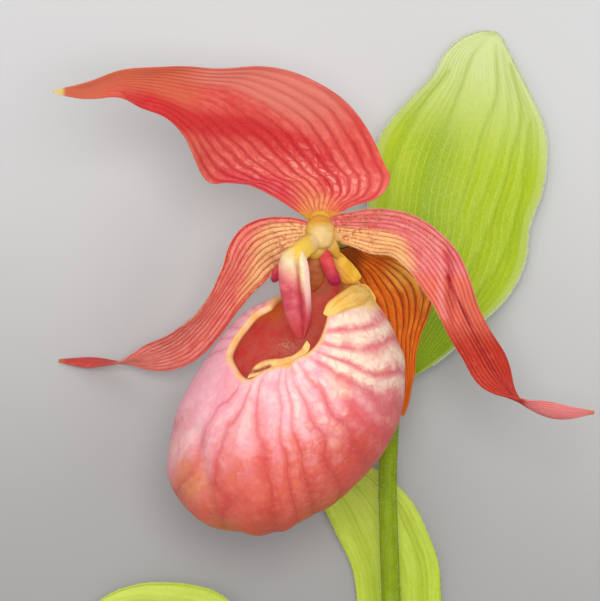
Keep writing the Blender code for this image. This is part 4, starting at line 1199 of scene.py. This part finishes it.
# ------------------------------------------------------------------ column and its parts
def waxy(name, a, b, c3, fn, rough=0.4):
    k = Mat(name, rough)
    o = k.obj()
    fine = k.noise(1300.0, 3, 0.6, o)
    mid = k.noise(420.0, 3, 0.5, o)
    c = k.mix(k.step(mid, 0.35, 0.65), a, b)
    c = fn(k, c, fine, mid)
    c = k.mix(k.step(fine, 0.5, 0.75, 0.0, 0.22), c, b)
    c = k.mix(k.step(fine, 0.48, 0.25, 0.0, 0.2), c, c3)
    k.colour(c)
    n = k.bump(fine, 0.35, 0.00012)
    k.put(k.b.inputs["Normal"], n.outputs[0])
    k.put(k.b.inputs["Roughness"], k.step(fine, 0.3, 0.7, rough - 0.08, rough + 0.1))
    k.b.inputs["Subsurface Weight"].default_value = 0.15
    k.b.inputs["Subsurface Radius"].default_value = (0.001, 0.0006, 0.0003)
    k.b.inputs["Subsurface Scale"].default_value = 0.5
    return k.m


col_mat = waxy("column_tissue", lin(216, 178, 112), lin(226, 194, 134), lin(200, 148, 72),
               lambda k, c, f, m: k.mix(
                   k.step(k.add(k.attr("gold"), k.mul(k.sub(m, 0.5), 0.6)), 0.1, 0.9),
                   k.mix(k.step(k.add(k.attr("olive"), k.mul(k.sub(m, 0.5), 0.6)), 0.1, 0.9), c, lin(226, 188, 74)),
                   lin(222, 164, 60)), 0.45)


def blended(name, parts, voxel, rounds, mat, paint):
    """Several bodies grown together into one smooth closed body."""
    import bmesh
    bm = bmesh.new()
    for o in parts:
        bm.from_mesh(o.data)
    me = bpy.data.meshes.new(name)
    bm.to_mesh(me)
    bm.free()
    for o in parts:
        bpy.data.objects.remove(o, do_unlink=True)
    raw = bpy.data.objects.new(name + "_raw", me)
    bpy.context.scene.collection.objects.link(raw)
    mod = raw.modifiers.new("join", "REMESH")
    mod.mode = "VOXEL"
    mod.voxel_size = voxel / RES
    sm = raw.modifiers.new("soft", "SMOOTH")
    sm.factor, sm.iterations = 0.5, rounds
    bpy.context.view_layer.update()
    out = bpy.data.meshes.new_from_object(raw.evaluated_get(bpy.context.evaluated_depsgraph_get()))
    bpy.data.objects.remove(raw, do_unlink=True)
    out.name = name
    out.materials.clear()
    out.materials.append(mat)
    out.polygons.foreach_set("use_smooth", np.ones(len(out.polygons), bool))
    co = np.empty(len(out.vertices) * 3, np.float32)
    out.vertices.foreach_get("co", co)
    co = co.reshape(-1, 3).astype(float)
    X, Y = co[:, 0] / UNIT + X0, Y0 - co[:, 1] / UNIT
    for key, fn in paint.items():
        at = out.attributes.new(key, "FLOAT", "POINT")
        at.data.foreach_set("value", np.clip(fn(X, Y), 0, 1).astype(np.float32))
    ob = bpy.data.objects.new(name, out)
    bpy.context.scene.collection.objects.link(ob)
    fix_outward(ob)
    return ob


dome, _ = tube("dome", [(320, 216, 46.5), (320, 225, 47.2), (320.5, 233, 48.5), (319, 241, 49.6), (315, 247, 50.2)],
               [2.3, 2.7, 2.9, 2.6, 1.8], col_mat, 60, 80, flat=0.8, power=4,
               relief=lambda A, T: 0.12 * wavy(A / math.tau * 1.0, T, 61))
arms = [dome]
for i, (path, radii) in enumerate([
        ([(320, 236, 48.4), (309, 242, 51.0), (298, 248.5, 53.4), (288, 256, 54.4)], [1.3, 1.5, 1.3, 0.9]),
        ([(319, 238, 49.0), (308, 246, 52.0), (299, 254, 54.2), (295, 263, 55.0)], [1.3, 1.5, 1.2, 0.8]),
        ([(319, 240, 49.4), (311, 248, 51.6), (305, 255, 53.4), (302, 264, 54.4)], [1.2, 1.3, 1.05, 0.7]),
        ([(316, 242, 48.6), (315, 250, 47.8), (314, 260, 46.8)], [2.3, 2.0, 1.0]),
        ([(321, 236, 48.8), (329, 243, 48.0), (334, 250, 46.8), (338, 259, 45.6)], [1.3, 1.5, 1.2, 0.9]),
        ([(309, 219, 45.4), (320, 215, 45.5), (331, 219, 45.3)], [1.0, 1.2, 1.0]),
        ([(310, 224, 45.6), (311, 236, 46.6)], [1.0, 1.2]), ([(330, 224, 45.6), (330, 236, 46.6)], [1.0, 1.2])]):
    arm, _ = tube(f"arm_{i}", path, radii, col_mat, 28, 40, power=3)
    arms.append(arm)
column = blended("column_fine", arms, 0.00013, int(80 * RES * RES), col_mat, {
    "gold": lambda X, Y: smooth(231, 219, Y) + 0.7 * smooth(326, 336, X) * smooth(240, 250, Y),
    "olive": lambda X, Y: 0.95 * smooth(5, 22, np.hypot(X - 322, Y - 236) + 2.0 * wavy(X / 30, Y / 30, 91))
    + 0.6 * smooth(9, 14.5, np.abs(X - 320.5)) * smooth(246, 240, Y)})
done(column, "column")


def tongue_section(A, T, ca, sa):
    front = np.sin(A) > 0
    groove = np.exp(-((ca - 0.25) / 0.17) ** 2)
    fold = np.exp(-((ca - 0.66) / 0.26) ** 2) + 0.5 * np.exp(-((ca + 0.70) / 0.3) ** 2)
    sa = np.where(front, sa * (1 - 0.85 * groove + 0.45 * fold), sa * 1.1)
    return ca, sa


def tongue_colour(k, c, f, m):
    s, t = k.attr("s"), k.add(k.attr("t"), k.mul(k.sub(m, 0.5), 0.22))
    c = k.mix(k.step(t, 0.62, 0.95), c, lin(206, 78, 76))
    top = k.mix(k.step(s, -0.2, 0.6), lin(228, 200, 156), lin(236, 216, 166))
    c = k.mix(k.step(k.add(t, k.mul(s, -0.14)), 0.46, 0.20), c, top)
    c = k.mix(k.step(t, 0.16, 0.04, 0.0, 0.8), c, lin(226, 196, 84))
    # painted highlight: a pale streak along the right fold of the upper staminode
    c = k.mix(k.mul(k.step(s, 0.52, 0.74, 0.0, 0.75), k.step(t, 0.75, 0.5)), c, lin(246, 206, 196))
    # painted shade: darker magenta along the groove
    groove = k.mul(k.step(s, 0.08, 0.25), k.step(s, 0.44, 0.27))
    return k.mix(k.mul(groove, k.step(t, 0.05, 0.3, 0.25, 0.8)), c, lin(172, 44, 66))


stam_mat = waxy("staminode_tissue", lin(194, 72, 86), lin(212, 108, 114), lin(172, 46, 74), tongue_colour, 0.38)
stam, _ = tube("staminode_fine", [(297, 247, 53.9), (294, 258, 54.7), (294, 276, 54.4), (296.5, 298, 53.1),
                                  (298.5, 314, 51.6), (300, 326, 50.4), (302, 339, 49.2)],
               [3.0, 3.15, 3.15, 2.9, 2.75, 2.45, 1.8], stam_mat, 90, 110, flat=0.33, power=4.0, section=tongue_section,
               relief=lambda A, T: 0.07 * wavy(A / math.tau * 2, T * 2, 62))
done(stam, "staminode")

anther_mat = waxy("anther_tissue", lin(196, 54, 62), lin(212, 78, 76), lin(146, 24, 56),
                  lambda k, c, f, m: k.mix(k.step(k.attr("t"), 0.45, 0.95, 0.0, 0.9), c, lin(156, 30, 74)))
ar, _ = tube("anther_right_fine", [(322, 247, 48.3), (328, 266, 47.4), (337, 285, 46.3)], [1.25, 1.3, 1.3],
             anther_mat, 40, 60, flat=0.5, power=6, relief=lambda A, T: 0.08 * wavy(A / math.tau * 2, T * 2, 63))
done(ar, "anther_right")
al, _ = tube("anther_left_fine", [(290, 262, 50.6), (280, 270, 49.6), (273, 282, 48.6)], [0.9, 1.1, 1.0],
             anther_mat, 40, 60, flat=0.8, power=3.0, relief=lambda A, T: 0.12 * wavy(A / math.tau * 2, T * 2.5, 64))
done(al, "anther_left")
# the stigma's colour is darkened to dark brown as painted shade of the cavity under the column
stig_mat = waxy("stigma_tissue_painted_shade", lin(150, 72, 32), lin(176, 98, 46), lin(112, 44, 22),
                lambda k, c, f, m: k.mix(k.step(m, 0.62, 0.72), c, lin(214, 140, 60)), 0.5)
stg, _ = tube("stigma_fine", [(316, 253, 46.8), (314, 270, 46.0), (312, 292, 45.2)], [1.9, 2.4, 1.6],
              stig_mat, 40, 50, flat=0.4, relief=lambda A, T: 0.1 * wavy(A / math.tau * 2, T * 2, 65))
done(stg, "stigma")

COLLAR = [
    (330, 252, 45.0, 338, 250, 44.6, 0.0), (332, 259, 44.9, 345, 257, 44.2, 0.3),
    (336, 269, 44.6, 353, 265, 43.8, 0.5), (340, 278, 44.2, 359, 273, 43.6, 0.5),
    (345, 283.5, 43.9, 360, 279, 43.5, 0.3), (351, 284.5, 43.7, 356, 283, 43.5, 0.0)]
# the collar turns browner towards its left edge beside the anther as painted fold shade
collar_mat = waxy("collar_tissue", lin(214, 160, 36), lin(226, 182, 68), lin(186, 118, 22),
                  lambda k, c, f, m: k.mix(k.step(k.attr("s"), 0.2, -0.9, 0.0, 0.7), c, lin(206, 130, 60)), 0.45)
collar, _, _, _, _ = sheet("lip_collar_fine", edged_surface(COLLAR), 60, 30, 0.5, collar_mat,
                           relief=lambda T, S, half, L, X, Y: 0.06 * wavy(S, T * 2, 66))
done(collar, "lip_collar")

# ------------------------------------------------------------------ hairs
white_hair = hair_material("pale_hair", lin(236, 242, 206))
red_hair = hair_material("petal_hair", lin(240, 198, 140))
brown_hair = hair_material("petal_dark_hair", lin(178, 96, 54))


def edge_hairs(name, q, n, count, length, radius, mat, t0=0.0, t1=1.0, sides=(-1, 1), out=0.8, up=0.25, seed=1):
    r = np.random.default_rng(seed)
    base, dirs = [], []
    a = q.shape[0]
    for sd in sides:
        col = 0 if sd < 0 else -1
        edge, inn = q[:, col], q[:, 3 if sd < 0 else -4]
        x = (t0 + (t1 - t0) * r.random(count)) * (a - 1)
        i = np.clip(x.astype(int), 0, a - 2)
        f = (x - i)[:, None]
        p = edge[i] * (1 - f) + edge[i + 1] * f
        o = unit(p - (inn[i] * (1 - f) + inn[i + 1] * f))
        along = unit(edge[i + 1] - edge[i])
        d = o * out + along * 0.45 + n[i, col] * r.normal(0, up, (count, 1)) + r.normal(0, 0.18, (count, 3))
        base.append(p)
        dirs.append(d)
    base, dirs = np.concatenate(base), np.concatenate(dirs)
    m = len(base)
    ln = length * r.uniform(0.55, 1.15, m)
    ob = hairs(name, base, dirs, ln, radius, mat)
    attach(ob, "root")
    return ob


def face_hairs(name, q, n, count, length, radius, mat, t0, t1, s0=0.02, s1=0.98, lean=0.6, seed=1, sign=1):
    r = np.random.default_rng(seed)
    a, b = q.shape[:2]
    i = ((t0 + (t1 - t0) * r.random(count)) * (a - 1)).astype(int).clip(0, a - 2)
    j = ((s0 + (s1 - s0) * r.random(count)) * (b - 1)).astype(int).clip(0, b - 2)
    f, g = r.random((count, 1)), r.random((count, 1))
    p = (q[i, j] * (1 - f) + q[i + 1, j] * f) * (1 - g) + (q[i, j + 1] * (1 - f) + q[i + 1, j + 1] * f) * g
    along = unit(q[i + 1, j] - q[i, j])
    d = n[i, j] * sign + along * lean + r.normal(0, 0.25, (count, 3))
    ob = hairs(name, p, d, length * r.uniform(0.5, 1.1, count), radius, mat)
    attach(ob, "root")
    return ob


hn = 1.0
edge_hairs("bract_fringe", bract_q, bract_n, int(2600 * hn), 0.72, 0.042, white_hair, 0.1, 0.99, seed=2)
edge_hairs("petal_left_fringe", pl_q, pl_n, int(450 * hn), 0.55, 0.02, red_hair, 0.03, 0.5, seed=3)
edge_hairs("petal_right_fringe", pr_q, pr_n, int(450 * hn), 0.55, 0.02, red_hair, 0.03, 0.5, seed=4)
face_hairs("petal_left_down", pl_q, pl_n, int(700 * hn), 1.4, 0.04, red_hair, 0.03, 0.3, lean=2.2, seed=5)
face_hairs("petal_right_down", pr_q, pr_n, int(1100 * hn), 1.6, 0.04, red_hair, 0.03, 0.34, lean=2.2, seed=6)
face_hairs("petal_left_dark_down", pl_q, pl_n, int(1100 * hn), 0.9, 0.045, brown_hair, 0.03, 0.22, lean=2.6, seed=15)
face_hairs("petal_right_dark_down", pr_q, pr_n, int(1500 * hn), 0.9, 0.045, brown_hair, 0.03, 0.27, lean=2.6, seed=16)
edge_hairs("leaf_upper_fringe", lu_q, lu_n, int(500 * hn), 0.5, 0.02, white_hair, 0.05, 0.99, seed=7)
edge_hairs("leaf_lower_fringe", ll_q, ll_n, int(500 * hn), 0.5, 0.02, white_hair, 0.05, 0.99, seed=8)

sn = grid_normals(stem_q, True)
mid_line = stem_q.mean(1, keepdims=True)
sn = np.where(((stem_q - mid_line) * sn).sum(-1, keepdims=True) < 0, -sn, sn)
face_hairs("stem_down", stem_q, sn, int(2800 * hn), 0.50, 0.026, white_hair, 0.01, 0.99, lean=0.2, seed=9)

# ------------------------------------------------------------------ stage, light and camera
k = Mat("pale_floor", 0.8)
# painted light falloff: the floor is painted darker towards the bottom and the left in place of the lamps' falloff
sep = k.node("ShaderNodeSeparateXYZ")
k.put(sep.inputs[0], k.obj())
painted_light_falloff = k.step(k.add(sep.outputs[1], k.mul(sep.outputs[0], 0.15)), -0.055, 0.085)
ground = k.mix(painted_light_falloff, lin(155, 154, 153), lin(210, 210, 210))
k.colour(k.mix(k.mul(k.noise(6.0, 2), 0.2), ground, lin(192, 192, 191)))
k.b.inputs["Specular IOR Level"].default_value = 0.1
floor = mesh_object("floor", np.array([[-3, -3, -0.0002], [3, -3, -0.0002], [3, 3, -0.0002], [-3, 3, -0.0002]]),
                    [[0, 1, 2, 3]], k.m)

world = bpy.data.worlds.new("studio")
bpy.context.scene.world = world
world.use_nodes = True
world.node_tree.nodes["Background"].inputs["Color"].default_value = (1.0, 1.0, 1.0, 1.0)
world.node_tree.nodes["Background"].inputs["Strength"].default_value = 0.40


def area(name, loc, aim, size, power):
    li = bpy.data.lights.new(name, "AREA")
    li.shape = "DISK"
    li.size = size
    li.energy = power
    ob = bpy.data.objects.new(name, li)
    ob.location = loc
    from mathutils import Vector
    ob.rotation_euler = (Vector(aim) - Vector(loc)).to_track_quat("-Z", "Y").to_euler()
    bpy.context.scene.collection.objects.link(ob)


area("key", (-0.05, 0.55, 0.80), (0, 0.03, 0.03), 0.6, 1.7)
area("over", (0.02, 0.12, 1.10), (0, 0.03, 0.03), 0.35, 5.2)
area("fill", (-0.6, -0.1, 0.8), (0, 0.03, 0.03), 0.8, 1.1)
area("right", (0.42, 0.02, 0.95), (0, 0.03, 0.03), 0.5, 1.2)

mouth = bpy.data.lights.new("mouth", "SPOT")
mouth.spot_size, mouth.spot_blend = math.radians(1.7), 1.0
mouth.shadow_soft_size = 0.02
mouth.energy = 28.0
mouth_lamp = bpy.data.objects.new("mouth", mouth)
mouth_lamp.location = (-0.0085, 0.0265, 1.1)
bpy.context.scene.collection.objects.link(mouth_lamp)

cam = bpy.data.cameras.new("camera")
camera = bpy.data.objects.new("camera", cam)
bpy.context.scene.collection.objects.link(camera)
DIST, REF_Z = 2.0, 0.042
cam.sensor_width = 36.0
cam.lens = 36.0 * DIST / (601 * UNIT)
cam.clip_start, cam.clip_end = 0.05, 10.0
centre = place(np.array((300.0, 300.5, 0.0)))
camera.location = (float(centre[0]), float(centre[1]), DIST + REF_Z)
camera.rotation_euler = (0, 0, 0)
bpy.context.scene.camera = camera
bpy.context.scene.view_settings.view_transform = "Standard"
bpy.context.scene.view_settings.look = "None"
